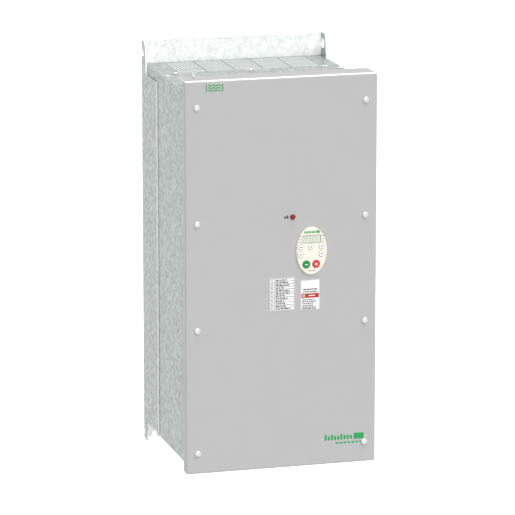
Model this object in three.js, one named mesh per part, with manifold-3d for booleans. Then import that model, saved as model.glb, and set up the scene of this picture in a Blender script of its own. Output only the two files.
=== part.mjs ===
// A wall-hung variable frequency drive in a sealed sheet-metal case.
// Millimetres, +Z up. The origin is the centre of the wall face, the front looks along -Y.
import * as THREE from 'three';
import { mergeVertices } from 'three/addons/utils/BufferGeometryUtils.js';
import Module from 'manifold-3d';

const wasm = await Module();
wasm.setup();
const { Manifold } = wasm;

// ---------------------------------------------------------------- driving dimensions

const DEPTH = 290; // wall to cover face
const GAP = 0.3; // between pieces that rest on each other
const SHEET = 2; // galvanised steel

const COVER_WIDTH = 310;
const COVER_BOTTOM = -314;
const COVER_TOP = 312;
const COVER_SHEET = 1.5;
const COVER_FLANGE = 16; // depth of the cover's rim at the sides and the bottom
const COVER_HOOD = 44; // depth of its top flange, which shelters the housing's front edge

const CHANNEL_WIDTH = 303; // back channel over its wings
const CHANNEL_DEPTH = 98; // wall to the front edge of the wings
const PLATE_HEIGHT = 660; // back plate with both fixing strips
const WING_TOP_STEP = 13.6; // the wings end this far below the housing's top
const FLANGE_ROOT = 32; // fixing flange depth beside the housing
const FLANGE_TIP = 24; // fixing flange depth at the plate's end

const HOUSING_TOP = 292.6;
const HOUSING_BOTTOM = -299.7;
const FRAME_OPENING = { half: 117, bottom: -265, top: 255 };

const KEYHOLE = { x: 133.5, z: 310, radius: 6.5, slot: 3, top: 323 };
const OPEN_SLOT = { radius: 3.25, top: 11 };
const LIFT_HOLE = { radius: 8, y: -11, top: 313.5, bottom: -318 };

const VENT = { count: 5, width: 43.5, gap: 3.5, length: 85, x: 2, y: -54.5 };
const SCREW_X = 136.2;
const SCREW_ROWS = [270, 87, -83, -281];

const KEYPAD = { x: 48, z: 35, width: 49.5, height: 76, thickness: 3.4 };
const LAMP = { x: 18, z: 90.1 };
const PARAMETER_LABEL = { x: [-20.2, 21.6], z: [-58.8, -6.6] };
const RATING_LABEL = { x: [31.2, 62], z: [-60.2, -12] };

const SINK = { half: 128, base: 12, margin: 12 };
const FIN = { count: 25, thickness: 2.6, pitch: 9.2, depth: 86, bottom: -130, top: 245 };
const FAN = { x: 60, size: 92, bore: 43.5, height: 25, blades: 7 };

// ---------------------------------------------------------------- places worked out from them

const COVER_FACE = -DEPTH;
const COVER_BACK = COVER_FACE + COVER_SHEET;
const HOUSING_HALF = CHANNEL_WIDTH / 2 - SHEET - GAP;
const PLATE_END = PLATE_HEIGHT / 2;
const WING_TOP = HOUSING_TOP - WING_TOP_STEP;
const WING_BOTTOM = HOUSING_BOTTOM + 3.5;
const DUCT_BACK = -SHEET - GAP;
const BULKHEAD_BACK = -CHANNEL_DEPTH;
const BULKHEAD_FRONT = BULKHEAD_BACK - SHEET;
const FRAME_FRONT = COVER_BACK + 2.9;
const PANEL_FRONT = FRAME_FRONT + SHEET + GAP;
const INSIDE = HOUSING_HALF - SHEET - GAP;
const SINK_BACK = BULKHEAD_FRONT - GAP; // back of the heat sink's base, on the bulkhead
const SINK_FACE = SINK_BACK - SINK.base;
const MODULE_BACK = SINK_FACE - GAP;
const VENT_PITCH = VENT.width + VENT.gap;
const VENT_SPAN = VENT.count * VENT_PITCH - VENT.gap;

// ---------------------------------------------------------------- materials

function material(color, roughness, metalness) {
  return new THREE.MeshStandardMaterial({ color, roughness, metalness, flatShading: true });
}

const look = {
  galvanised: material(0xbcc2bf, 0.5, 0.7),
  paint: material(0xc7c7c7, 0.45, 0.1),
  zincScrew: material(0xe6e6e6, 0.25, 0.9),
  gasket: material(0x1d1d1f, 0.9, 0),
  ivory: material(0xf5f1e2, 0.4, 0),
  whiteKey: material(0xfafaf6, 0.4, 0),
  greenKey: material(0x0b9a52, 0.35, 0),
  redKey: material(0xd33c3c, 0.35, 0),
  lamp: material(0xc03a3a, 0.15, 0),
  display: material(0xd8e0d0, 0.2, 0),
  label: material(0xf7f7f5, 0.5, 0),
  aluminium: material(0xd5dad8, 0.4, 0.8),
  black: material(0x1e2022, 0.6, 0),
  circuit: material(0x1f6b43, 0.5, 0),
  sleeve: material(0x23262c, 0.35, 0),
  copper: material(0xb46a3c, 0.4, 0.8),
  laminate: material(0x4a4c50, 0.6, 0.5),
  grey: material(0x8d9194, 0.5, 0),
  brass: material(0xc9a550, 0.35, 0.8),
};

// ---------------------------------------------------------------- solids

function solid(geometry) {
  const bare = geometry.clone();
  bare.deleteAttribute('normal');
  bare.deleteAttribute('uv');
  const merged = mergeVertices(bare, 1e-4);
  return new Manifold(new wasm.Mesh({
    numProp: 3,
    vertProperties: merged.attributes.position.array,
    triVerts: new Uint32Array(merged.index.array),
  }));
}

function geometryOf(body) {
  const mesh = body.getMesh();
  const geometry = new THREE.BufferGeometry();
  geometry.setAttribute('position', new THREE.BufferAttribute(mesh.vertProperties, 3));
  geometry.setIndex(new THREE.BufferAttribute(mesh.triVerts, 1));
  geometry.computeVertexNormals();
  return geometry;
}

// A box between two values on each axis.
function box([x0, x1], [y0, y1], [z0, z1]) {
  const geometry = new THREE.BoxGeometry(x1 - x0, y1 - y0, z1 - z0);
  geometry.translate((x0 + x1) / 2, (y0 + y1) / 2, (z0 + z1) / 2);
  return solid(geometry);
}

const BASES = {
  x: new THREE.Matrix4().makeBasis(
    new THREE.Vector3(0, 1, 0), new THREE.Vector3(0, 0, 1), new THREE.Vector3(1, 0, 0)),
  y: new THREE.Matrix4().makeBasis(
    new THREE.Vector3(1, 0, 0), new THREE.Vector3(0, 0, 1), new THREE.Vector3(0, -1, 0)),
  z: new THREE.Matrix4(),
};

// An outline pulled between two values of one axis. The outline's own axes are
// Y and Z for x, X and Z for y, X and Y for z.
function pull(shape, axis, from, to, curveSegments = 12) {
  const geometry = new THREE.ExtrudeGeometry(shape, {
    depth: to - from, bevelEnabled: false, curveSegments,
  });
  geometry.applyMatrix4(BASES[axis]);
  const start = axis === 'y' ? to : from;
  geometry.translate(axis === 'x' ? start : 0, axis === 'y' ? start : 0, axis === 'z' ? start : 0);
  return solid(geometry);
}

function polygon(points) {
  return new THREE.Shape(points.map(([a, b]) => new THREE.Vector2(a, b)));
}

function ellipse(x, z, halfWidth, halfHeight) {
  return new THREE.Shape().absellipse(x, z, halfWidth, halfHeight, 0, 2 * Math.PI);
}

function disc(x, z, radius) {
  return ellipse(x, z, radius, radius);
}

// A turned piece: the profile holds [radius, height] points, and height runs along the
// given axis from the given point.
function turn(profile, axis, [x, y, z], segments = 20) {
  const points = profile.map(([r, h]) => new THREE.Vector2(r, h));
  const geometry = new THREE.LatheGeometry(points, segments);
  if (axis === 'z') geometry.rotateX(Math.PI / 2);
  if (axis === '-y') geometry.rotateX(Math.PI);
  geometry.translate(x, y, z);
  return solid(geometry);
}

function join(bodies) {
  return Manifold.union(bodies);
}

function mirrored(body) {
  return body.mirror([1, 0, 0]);
}

const drive = new THREE.Group();
drive.name = 'variable_frequency_drive';

function add(name, body, surface, group = drive) {
  const mesh = new THREE.Mesh(geometryOf(body), surface);
  mesh.name = name;
  group.add(mesh);
  return mesh;
}

// ---------------------------------------------------------------- case

// Back plate, wings and fixing flanges are bent from one sheet.
function rearChannel() {
  const half = CHANNEL_WIDTH / 2;
  const plate = box([-half, half], [-SHEET, 0], [-PLATE_END, PLATE_END]);
  const side = polygon([
    [0, -PLATE_END], [0, PLATE_END],
    [-FLANGE_TIP, PLATE_END], [-FLANGE_ROOT, WING_TOP],
    [-CHANNEL_DEPTH, WING_TOP], [-CHANNEL_DEPTH, WING_BOTTOM],
    [-FLANGE_ROOT, WING_BOTTOM], [-FLANGE_TIP, -PLATE_END],
  ]);
  side.holes.push(disc(LIFT_HOLE.y, LIFT_HOLE.top, LIFT_HOLE.radius));
  side.holes.push(disc(LIFT_HOLE.y, LIFT_HOLE.bottom, LIFT_HOLE.radius));
  const wing = pull(side, 'x', half - SHEET, half, 10);

  const through = [-SHEET - 1, 1];
  const cuts = [];
  for (const x of [-KEYHOLE.x, KEYHOLE.x]) {
    cuts.push(pull(disc(x, KEYHOLE.z, KEYHOLE.radius), 'y', ...through, 10));
    cuts.push(pull(disc(x, KEYHOLE.top - KEYHOLE.slot, KEYHOLE.slot), 'y', ...through, 6));
    cuts.push(box([x - KEYHOLE.slot, x + KEYHOLE.slot], through,
      [KEYHOLE.z, KEYHOLE.top - KEYHOLE.slot]));
    const slotEnd = -PLATE_END + OPEN_SLOT.top - OPEN_SLOT.radius;
    cuts.push(pull(disc(x, slotEnd, OPEN_SLOT.radius), 'y', ...through, 6));
    cuts.push(box([x - OPEN_SLOT.radius, x + OPEN_SLOT.radius], through,
      [-PLATE_END - 1, slotEnd]));
  }
  return join([plate, wing, mirrored(wing)]).subtract(join(cuts));
}

function sidePanel() {
  return box([HOUSING_HALF - SHEET, HOUSING_HALF], [PANEL_FRONT, DUCT_BACK],
    [HOUSING_BOTTOM, HOUSING_TOP - SHEET - GAP]);
}

// Three behind the bulkhead's flange, then one over each side panel.
const TOP_SCREWS = [[-123.5, -113], [0, -113], [123.5, -113], [-141.5, -133], [141.5, -133]];
const TOP_SCREW = { head: 3.8, rise: 2.4, shank: 2, length: 8 };

function topPlate() {
  const plate = box([-HOUSING_HALF, HOUSING_HALF], [PANEL_FRONT, DUCT_BACK],
    [HOUSING_TOP - SHEET, HOUSING_TOP]);
  const halfWidth = VENT_SPAN / 2 + 2 * GAP;
  const halfLength = VENT.length / 2 + 2 * GAP;
  const vent = box([VENT.x - halfWidth, VENT.x + halfWidth],
    [VENT.y - halfLength, VENT.y + halfLength], [HOUSING_TOP - SHEET - 1, HOUSING_TOP + 1]);
  const holes = TOP_SCREWS.map(([x, y]) => pull(
    disc(x, y, TOP_SCREW.shank + GAP), 'z', HOUSING_TOP - SHEET - 1, HOUSING_TOP + 1, 4));
  return plate.subtract(join([vent, ...holes]));
}

// Five slotted panels on two cross ribs that sit under the top plate's window.
function ventGrille() {
  const top = HOUSING_TOP;
  const rib = { half: 3, inset: 4, height: 4 };
  const slots = { count: 4, width: 3, pitch: 9, length: 70 };
  const pieces = [-1, 1].map((end) => {
    const y = VENT.y + end * (VENT.length / 2 - rib.inset);
    return box([VENT.x - VENT_SPAN / 2, VENT.x + VENT_SPAN / 2], [y - rib.half, y + rib.half],
      [top - SHEET - rib.height, top - SHEET + 0.2]);
  });
  const cuts = [];
  for (let i = 0; i < VENT.count; i += 1) {
    const x = VENT.x + (i - (VENT.count - 1) / 2) * VENT_PITCH;
    pieces.push(box([x - VENT.width / 2, x + VENT.width / 2],
      [VENT.y - VENT.length / 2, VENT.y + VENT.length / 2], [top - SHEET, top]));
    for (let j = 0; j < slots.count; j += 1) {
      const slotX = x + (j - (slots.count - 1) / 2) * slots.pitch;
      cuts.push(box([slotX - slots.width / 2, slotX + slots.width / 2],
        [VENT.y - slots.length / 2, VENT.y + slots.length / 2], [top - 3, top + 1]));
    }
  }
  return join(pieces).subtract(join(cuts));
}

const PLUG = { flange: 20, body: 15.8, rise: 3, spacing: 80, y: -205 };
const GLAND_PLATE = 2.5;
const GLAND_TOP = HOUSING_BOTTOM - GAP;
const GLAND_BOTTOM = GLAND_TOP - GLAND_PLATE;

function plugPlaces() {
  return [-1, 0, 1].map((step) => step * PLUG.spacing);
}

function glandPlate() {
  const plate = box([-HOUSING_HALF, HOUSING_HALF], [PANEL_FRONT, BULKHEAD_FRONT - GAP],
    [GLAND_BOTTOM, GLAND_TOP]);
  const holes = plugPlaces().map((x) => pull(
    disc(x, PLUG.y, PLUG.body + 2 * GAP), 'z', GLAND_BOTTOM - 1, GLAND_TOP + 1, 10));
  return plate.subtract(join(holes));
}

// A cup that sits flush in its entry, held by a rim on the inside.
function blankingPlug(x) {
  const { flange, body, rise } = PLUG;
  const skin = 1.5;
  const seat = GLAND_PLATE + GAP;
  return turn([
    [0, 0], [body, 0], [body, seat], [flange, seat], [flange, seat + rise],
    [body - skin, seat + rise], [body - skin, skin], [0, skin],
  ], 'z', [x, PLUG.y, GLAND_BOTTOM], 18);
}

function bulkhead() {
  const finHalf = (FIN.count - 1) * FIN.pitch / 2 + FIN.thickness / 2 + 1;
  const sheet = box([-INSIDE, INSIDE], [BULKHEAD_FRONT, BULKHEAD_BACK],
    [HOUSING_BOTTOM, HOUSING_TOP - SHEET - GAP]);
  const opening = box([-finHalf, finHalf], [BULKHEAD_FRONT - 1, BULKHEAD_BACK + 1],
    [FIN.bottom - 1, FIN.top + 1]);
  return sheet.subtract(opening);
}

function frontFrame() {
  const frame = box([-HOUSING_HALF, HOUSING_HALF], [FRAME_FRONT, FRAME_FRONT + SHEET],
    [GLAND_BOTTOM, HOUSING_TOP]);
  const { half, bottom, top } = FRAME_OPENING;
  const opening = box([-half, half], [FRAME_FRONT - 1, FRAME_FRONT + SHEET + 1], [bottom, top]);
  const holes = coverScrewPlaces().map(([x, z]) => pull(
    disc(x, z, COVER_SCREW.shank + 0.5), 'y', FRAME_FRONT - 1, FRAME_FRONT + SHEET + 1, 4));
  return frame.subtract(join([opening, ...holes]));
}

// ---------------------------------------------------------------- fasteners

const COVER_SCREW = { head: 5, rise: 3.6, shank: 2.5, length: 14 };

function coverScrewPlaces() {
  return SCREW_ROWS.flatMap((z) => [[-SCREW_X, z], [SCREW_X, z]]);
}

// Head up from height 0, shank down, with a domed top.
function domeScrew({ head, rise, shank, length }) {
  return [
    [0, -length], [shank, -length], [shank, 0], [head, 0], [head, rise * 0.35],
    [head * 0.7, rise * 0.85], [0, rise],
  ];
}

function coverScrew(x, z) {
  return turn(domeScrew(COVER_SCREW), '-y', [x, COVER_FACE - GAP, z], 12);
}

function topScrew([x, y]) {
  return turn(domeScrew(TOP_SCREW), 'z', [x, y, HOUSING_TOP + GAP], 10);
}

const STUD = { x: -132, y: -256.3, radius: 2.8, height: 6.5, slot: 1.4, slotDepth: 4 };

// A slotted upright stud on the cover's top flange, for the cover's earth strap.
function bondingStud() {
  const { x, y, radius, height, slot, slotDepth } = STUD;
  const { shank } = TOP_SCREW;
  const foot = COVER_TOP + GAP;
  const stud = turn([
    [0, -6], [shank, -6], [shank, 0], [radius, 0], [radius, height], [0, height],
  ], 'z', [x, y, foot], 12);
  return stud.subtract(box([x - slot / 2, x + slot / 2], [y - 2 * radius, y + 2 * radius],
    [foot + height - slotDepth, foot + height + 1]));
}

// ---------------------------------------------------------------- cover and keypad

function frontCover() {
  const halfW = COVER_WIDTH / 2;
  const rim = COVER_FACE + COVER_FLANGE;
  const tray = box([-halfW, halfW], [COVER_FACE, rim], [COVER_BOTTOM, COVER_TOP]);
  const hollow = box([-halfW + COVER_SHEET, halfW - COVER_SHEET], [COVER_BACK, rim + 1],
    [COVER_BOTTOM + COVER_SHEET, COVER_TOP - COVER_SHEET]);
  const hood = box([-halfW, halfW], [COVER_FACE, COVER_FACE + COVER_HOOD],
    [COVER_TOP - COVER_SHEET, COVER_TOP]);
  const studHole = pull(disc(STUD.x, STUD.y, TOP_SCREW.shank + GAP), 'z',
    COVER_TOP - COVER_SHEET - 1, COVER_TOP + 1, 4);
  const through = [COVER_FACE - 1, COVER_BACK + 1];
  const holes = coverScrewPlaces().map(([x, z]) => pull(
    disc(x, z, COVER_SCREW.shank + 0.5), 'y', ...through, 4));
  holes.push(pull(disc(LAMP.x, LAMP.z, LAMP_SIZE.body + 0.5), 'y', ...through, 6));
  holes.push(pull(ellipse(KEYPAD.x, KEYPAD.z, KEYPAD.width / 2 - 1.5, KEYPAD.height / 2 - 3),
    'y', ...through, 16));
  return join([tray.subtract(hollow), hood]).subtract(join([studHole, ...holes]));
}

// A flat ring between the cover and the front frame.
function coverGasket() {
  const ring = { inset: 1, width: 10, front: COVER_BACK + GAP, back: FRAME_FRONT - GAP };
  const half = FRAME_OPENING.half + ring.inset;
  const bottom = FRAME_OPENING.bottom - ring.inset;
  const top = FRAME_OPENING.top + ring.inset;
  const outer = box([-half - ring.width, half + ring.width], [ring.front, ring.back],
    [bottom - ring.width, top + ring.width]);
  const inner = box([-half, half], [ring.front - 1, ring.back + 1], [bottom, top]);
  return outer.subtract(inner);
}

const LAMP_SIZE = { dome: 4.4, body: 3.4, rise: 3.8, nut: 5.6 };

function chargeLamp() {
  const { dome, body, rise, nut } = LAMP_SIZE;
  const nutFront = -GAP - COVER_SHEET - GAP;
  return turn([
    [0, -14], [body, -14], [body, nutFront - 3], [nut, nutFront - 3], [nut, nutFront],
    [body, nutFront], [body, 0], [dome, 0], [dome, rise * 0.3], [dome * 0.7, rise * 0.85],
    [0, rise],
  ], '-y', [LAMP.x, COVER_FACE - GAP, LAMP.z], 12);
}

// Heights of the key rows and the display, from the keypad's centre.
const ROWS = { display: 19, upper: 6.9, lower: -5.4, large: -21.3 };
const DISPLAY = { x: -0.5, z: ROWS.display, width: 29.6, height: 11 };

// Keys by name: place from the keypad's centre, radius and colour.
const KEYS = [
  { name: 'key_up', x: -18.1, z: ROWS.upper, radius: 4.4, surface: look.whiteKey },
  { name: 'key_down', x: -18.1, z: ROWS.lower, radius: 4.4, surface: look.whiteKey },
  { name: 'key_mode', x: -1.1, z: ROWS.upper, radius: 4.4, surface: look.whiteKey },
  { name: 'key_local', x: 15.9, z: ROWS.upper, radius: 4.4, surface: look.whiteKey },
  { name: 'key_hand', x: 15.9, z: ROWS.lower, radius: 4.4, surface: look.whiteKey },
  { name: 'key_run', x: -8.8, z: ROWS.large, radius: 6.3, surface: look.greenKey },
  { name: 'key_stop', x: 7.2, z: ROWS.large, radius: 6.3, surface: look.redKey },
];
const BEZEL_FRONT = COVER_FACE - GAP - KEYPAD.thickness;

function keypadBezel() {
  const chamfer = 1;
  const halfW = KEYPAD.width / 2;
  const halfH = KEYPAD.height / 2;
  const geometry = new THREE.ExtrudeGeometry(ellipse(0, 0, halfW - chamfer, halfH - chamfer), {
    depth: KEYPAD.thickness - chamfer, bevelEnabled: true, bevelThickness: chamfer,
    bevelSize: chamfer, bevelSegments: 1, curveSegments: 16,
  });
  geometry.applyMatrix4(BASES.y);
  geometry.translate(KEYPAD.x, COVER_FACE - GAP, KEYPAD.z);
  const behind = box([KEYPAD.x - 40, KEYPAD.x + 40], [COVER_FACE - GAP, COVER_FACE + 5],
    [KEYPAD.z - 50, KEYPAD.z + 50]);
  const through = [BEZEL_FRONT - 1, COVER_FACE + 1];
  const cuts = KEYS.map((key) => pull(
    disc(KEYPAD.x + key.x, KEYPAD.z + key.z, key.radius + GAP), 'y', ...through, 7));
  const displayX = KEYPAD.x + DISPLAY.x;
  const displayZ = KEYPAD.z + DISPLAY.z;
  const halfDisplayW = DISPLAY.width / 2 + GAP;
  const halfDisplayH = DISPLAY.height / 2 + GAP;
  cuts.push(box([displayX - halfDisplayW, displayX + halfDisplayW], through,
    [displayZ - halfDisplayH, displayZ + halfDisplayH]));
  return solid(geometry).subtract(behind).subtract(join(cuts));
}

function displayWindow() {
  const x = KEYPAD.x + DISPLAY.x;
  const z = KEYPAD.z + DISPLAY.z;
  return box([x - DISPLAY.width / 2, x + DISPLAY.width / 2],
    [BEZEL_FRONT + 0.8, COVER_FACE - GAP], [z - DISPLAY.height / 2, z + DISPLAY.height / 2]);
}

function keypadKey({ x, z, radius }) {
  const stem = BEZEL_FRONT - COVER_FACE;
  return turn([
    [0, 0], [radius, 0], [radius, -stem + 0.4], [radius * 0.75, -stem + 1.1], [0, -stem + 1.35],
  ], '-y', [KEYPAD.x + x, COVER_FACE, KEYPAD.z + z], 14);
}

// The circuit board and its tray, held against the back of the cover.
function keypadBoard() {
  const front = COVER_BACK + GAP;
  return pull(ellipse(KEYPAD.x, KEYPAD.z, KEYPAD.width / 2, KEYPAD.height / 2 - 1),
    'y', front, front + 12, 10);
}

function label({ x, z }) {
  return box(x, [COVER_FACE - 0.45, COVER_FACE - 0.15], z);
}

// ---------------------------------------------------------------- cooling

function heatSink() {
  const base = box([-SINK.half, SINK.half], [SINK_FACE, SINK_BACK],
    [FIN.bottom - SINK.margin, FIN.top + SINK.margin]);
  const fins = Array.from({ length: FIN.count }, (_, i) => {
    const x = (i - (FIN.count - 1) / 2) * FIN.pitch;
    return box([x - FIN.thickness / 2, x + FIN.thickness / 2],
      [SINK_BACK - 1, BULKHEAD_FRONT + FIN.depth], [FIN.bottom, FIN.top]);
  });
  return join([base, ...fins]);
}

const FAN_Y = (BULKHEAD_BACK + DUCT_BACK) / 2;
const TRAY_BOTTOM = HOUSING_BOTTOM + 4;
const TRAY_TOP = TRAY_BOTTOM + SHEET;

// The tray closes the duct's lower end, but for a hole with a cross in it under each fan.
function fanTray() {
  const tray = box([-INSIDE, INSIDE], [BULKHEAD_BACK + GAP, DUCT_BACK - GAP],
    [TRAY_BOTTOM, TRAY_TOP]);
  const guard = { hub: 15, half: 2 }; // boss and bars of the cross
  const cuts = [-FAN.x, FAN.x].map((x) => {
    const bore = pull(disc(x, FAN_Y, FAN.bore), 'z', TRAY_BOTTOM - 1, TRAY_TOP + 1, 12);
    const hub = pull(disc(x, FAN_Y, guard.hub), 'z', TRAY_BOTTOM - 2, TRAY_TOP + 2, 8);
    const bars = [
      box([x - FAN.size, x + FAN.size], [FAN_Y - guard.half, FAN_Y + guard.half],
        [TRAY_BOTTOM - 2, TRAY_TOP + 2]),
      box([x - guard.half, x + guard.half], [FAN_Y - FAN.size, FAN_Y + FAN.size],
        [TRAY_BOTTOM - 2, TRAY_TOP + 2]),
    ];
    return bore.subtract(join([hub, ...bars]));
  });
  return tray.subtract(join(cuts));
}

const FAN_BOTTOM = TRAY_TOP + GAP;
const HUB = { radius: 18, strut: 4, height: 16 };

function fanFrame(x) {
  const half = FAN.size / 2;
  const body = box([x - half, x + half], [FAN_Y - half, FAN_Y + half],
    [FAN_BOTTOM, FAN_BOTTOM + FAN.height]);
  const bore = pull(disc(x, FAN_Y, FAN.bore), 'z', FAN_BOTTOM - 1, FAN_BOTTOM + FAN.height + 1, 14);
  const seat = pull(disc(x, FAN_Y, HUB.radius - 1), 'z', FAN_BOTTOM, FAN_BOTTOM + HUB.strut, 10);
  const struts = [0, 1, 2].map((i) => {
    const angle = Math.PI / 2 + i * 2 * Math.PI / 3;
    const geometry = new THREE.BoxGeometry(FAN.bore + 1, 3.5, HUB.strut);
    geometry.translate((FAN.bore + 1) / 2, 0, HUB.strut / 2);
    geometry.rotateZ(angle);
    geometry.translate(x, FAN_Y, FAN_BOTTOM);
    return solid(geometry);
  });
  return join([body.subtract(bore), seat, ...struts]);
}

function fanRotor(x) {
  const bottom = FAN_BOTTOM + HUB.strut + 0.8;
  const hub = turn([
    [0, 0], [HUB.radius, 0], [HUB.radius, HUB.height - 2], [HUB.radius - 2, HUB.height],
    [0, HUB.height],
  ], 'z', [x, FAN_Y, bottom], 18);
  const blade = { root: HUB.radius - 2, tip: FAN.bore - 1.8, chord: 20, thickness: 1.8, pitch: 38 };
  const blades = Array.from({ length: FAN.blades }, (_, i) => {
    const length = blade.tip - blade.root;
    const geometry = new THREE.BoxGeometry(length, blade.chord, blade.thickness);
    geometry.rotateX(blade.pitch * Math.PI / 180);
    geometry.translate(blade.root + length / 2, 0, HUB.height / 2);
    geometry.rotateZ(i * 2 * Math.PI / FAN.blades);
    geometry.translate(x, FAN_Y, bottom);
    return solid(geometry);
  });
  const reach = pull(disc(x, FAN_Y, FAN.bore - 1.2), 'z', bottom, bottom + HUB.height, 14);
  return join([hub, ...blades]).intersect(reach);
}

// ---------------------------------------------------------------- electronics

const POWER_BOARD = { x: 125, z: [-120, 200], y: SINK_FACE - 24, thickness: 2, pillar: 4, inset: 10 };
const CONTROL_BOARD = { x: 105, z: [-98, 104], thickness: 1.6, pillar: 3, inset: 8, stand: 8 };
const BRACKET = { front: -232, half: POWER_BOARD.x + 9, z: [-110, 122], arm: 30 };
const CONTROL_BOARD_Y = BRACKET.front - CONTROL_BOARD.stand;
const MODULE = { half: 75, depth: 20, z: [-25, 80], earHalf: 88, earDepth: 6, earZ: [10, 45] };
const CAPACITOR = { radius: 26, length: 84, z: 158, pitch: 60, count: 4, edge: 2 };
const CHOKE = { half: 62, z: [209, 285], y: [-172, -134], leg: 15, windowZ: [222, 272], windowX: 42 };
const CHOKE_FOOT = { half: 8, height: 30 };
const COIL = { front: 18, back: 16, clear: 1 }; // how far the winding stands past the core
const FILTER = { half: 95, depth: 58, z: [-205, -155], earHalf: 110, earDepth: 3, earInset: 10 };

function powerModule() {
  const body = box([-MODULE.half, MODULE.half], [MODULE_BACK - MODULE.depth, MODULE_BACK], MODULE.z);
  const ears = box([-MODULE.earHalf, MODULE.earHalf],
    [MODULE_BACK - MODULE.earDepth, MODULE_BACK], MODULE.earZ);
  return body.add(ears);
}

// A circuit board with a pillar at each corner that reaches back to the face behind it.
function boardOnPillars({ x, z: [bottom, top], thickness, pillar, inset }, y, behind) {
  const board = box([-x, x], [y - thickness, y], [bottom, top]);
  const pillars = [x - inset, inset - x].flatMap((pillarX) => [bottom + inset, top - inset].map(
    (z) => pull(disc(pillarX, z, pillar), 'y', y - 0.5, behind, 4)));
  return join([board, ...pillars]);
}

function capacitor(i) {
  const x = (i - (CAPACITOR.count - 1) / 2) * CAPACITOR.pitch;
  const { radius, length, edge } = CAPACITOR;
  return turn([
    [0, 0], [radius, 0], [radius, length - edge], [radius - edge, length], [0, length],
  ], '-y', [x, POWER_BOARD.y - POWER_BOARD.thickness - GAP, CAPACITOR.z], 16);
}

function chokeCore() {
  const { half, z, y, leg, windowZ, windowX } = CHOKE;
  const block = box([-half, half], y, z);
  const windows = [[-windowX, -leg], [leg, windowX]].map((span) => box(
    span, [y[0] - 1, y[1] + 1], windowZ));
  const feet = [CHOKE_FOOT.half - half, half - CHOKE_FOOT.half].map((x) => box(
    [x - CHOKE_FOOT.half, x + CHOKE_FOOT.half], [y[1] - 1, MODULE_BACK],
    [z[0], z[0] + CHOKE_FOOT.height]));
  return join([block.subtract(join(windows)), ...feet]);
}

function chokeWinding() {
  const { y, leg, windowZ, windowX } = CHOKE;
  const { front, back, clear } = COIL;
  const height = [windowZ[0] + clear, windowZ[1] - clear];
  const coil = box([clear - windowX, windowX - clear], [y[0] - front, y[1] + back], height);
  const tunnel = box([-leg - clear, leg + clear], [y[0] - clear, y[1] + clear],
    [height[0] - 1, height[1] + 1]);
  return coil.subtract(tunnel);
}

function lineFilter() {
  const { half, depth, z: [bottom, top], earHalf, earDepth, earInset } = FILTER;
  const can = box([-half, half], [SINK_BACK - depth, SINK_BACK], [bottom, top]);
  const ears = box([-earHalf, earHalf], [SINK_BACK - earDepth, SINK_BACK],
    [bottom + earInset, top - earInset]);
  return can.add(ears);
}

// A sheet bridge in front of the power board that carries the control board.
function controlBracket() {
  const { front, half, z: [bottom, top], arm } = BRACKET;
  const bridge = box([-half, half], [front, front + SHEET], [bottom, top]);
  const side = box([half - SHEET, half], [front, SINK_BACK], [bottom, top]);
  const relief = box([half - SHEET - 1, half + 1], [front + arm, BULKHEAD_FRONT - arm],
    [bottom + arm, top - arm]);
  const wall = side.subtract(relief);
  return join([bridge, wall, mirrored(wall)]);
}

// A terminal strip: a base with upright walls between the poles.
function terminals({ half, poles, y: [front, back], z: [bottom, top], wall }) {
  const base = box([-half, half], [front + wall, back], [bottom, top]);
  const pitch = 2 * half / poles;
  const walls = Array.from({ length: poles + 1 }, (_, i) => {
    const x = Math.min(Math.max(i * pitch - half, 1 - half), half - 1);
    return box([x - 1, x + 1], [front, back - 1], [bottom, top]);
  });
  return join([base, ...walls]);
}

function powerTerminals() {
  const block = { half: 110, poles: 9, y: [-160, -122], z: [-252, -222], wall: 12 };
  const foot = { x: 80, half: 10, inset: 4 };
  const feet = [-foot.x, foot.x].map((x) => box(
    [x - foot.half, x + foot.half], [block.y[1] - 1, SINK_BACK],
    [block.z[0] + foot.inset, block.z[1] - foot.inset]));
  return join([terminals(block), ...feet]);
}

function controlTerminals() {
  const front = CONTROL_BOARD_Y - CONTROL_BOARD.thickness - GAP;
  return terminals({ half: 84, poles: 12, y: [front - 11, front], z: [-92, -78], wall: 4 });
}

function earthBar() {
  const bar = { half: 105, y: [-124, -119], z: [-280, -268] };
  const foot = { half: 6, inset: 4 };
  const feet = [-1, 1].map((side) => side * (bar.half - foot.inset - foot.half)).map((x) => box(
    [x - foot.half, x + foot.half], [bar.y[1] - 1, SINK_BACK], [bar.z[0] + 1, bar.z[1] - 1]));
  return join([box([-bar.half, bar.half], bar.y, bar.z), ...feet]);
}

// ---------------------------------------------------------------- assembly

add('rear_channel', rearChannel(), look.galvanised);
add('right_side_panel', sidePanel(), look.galvanised);
add('left_side_panel', mirrored(sidePanel()), look.galvanised);
add('top_plate', topPlate(), look.galvanised);
add('vent_grille', ventGrille(), look.aluminium);
add('gland_plate', glandPlate(), look.galvanised);
plugPlaces().forEach((x, i) => add(`blanking_plug_${i + 1}`, blankingPlug(x), look.black));
add('bulkhead', bulkhead(), look.galvanised);
add('front_frame', frontFrame(), look.galvanised);
TOP_SCREWS.forEach((place, i) => add(`top_screw_${i + 1}`, topScrew(place), look.zincScrew));

const cooling = new THREE.Group();
drive.add(cooling);
add('heat_sink', heatSink(), look.aluminium, cooling);
add('fan_tray', fanTray(), look.galvanised, cooling);
[-FAN.x, FAN.x].forEach((x, i) => {
  add(`fan_frame_${i + 1}`, fanFrame(x), look.black, cooling);
  add(`fan_rotor_${i + 1}`, fanRotor(x), look.black, cooling);
});

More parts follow.
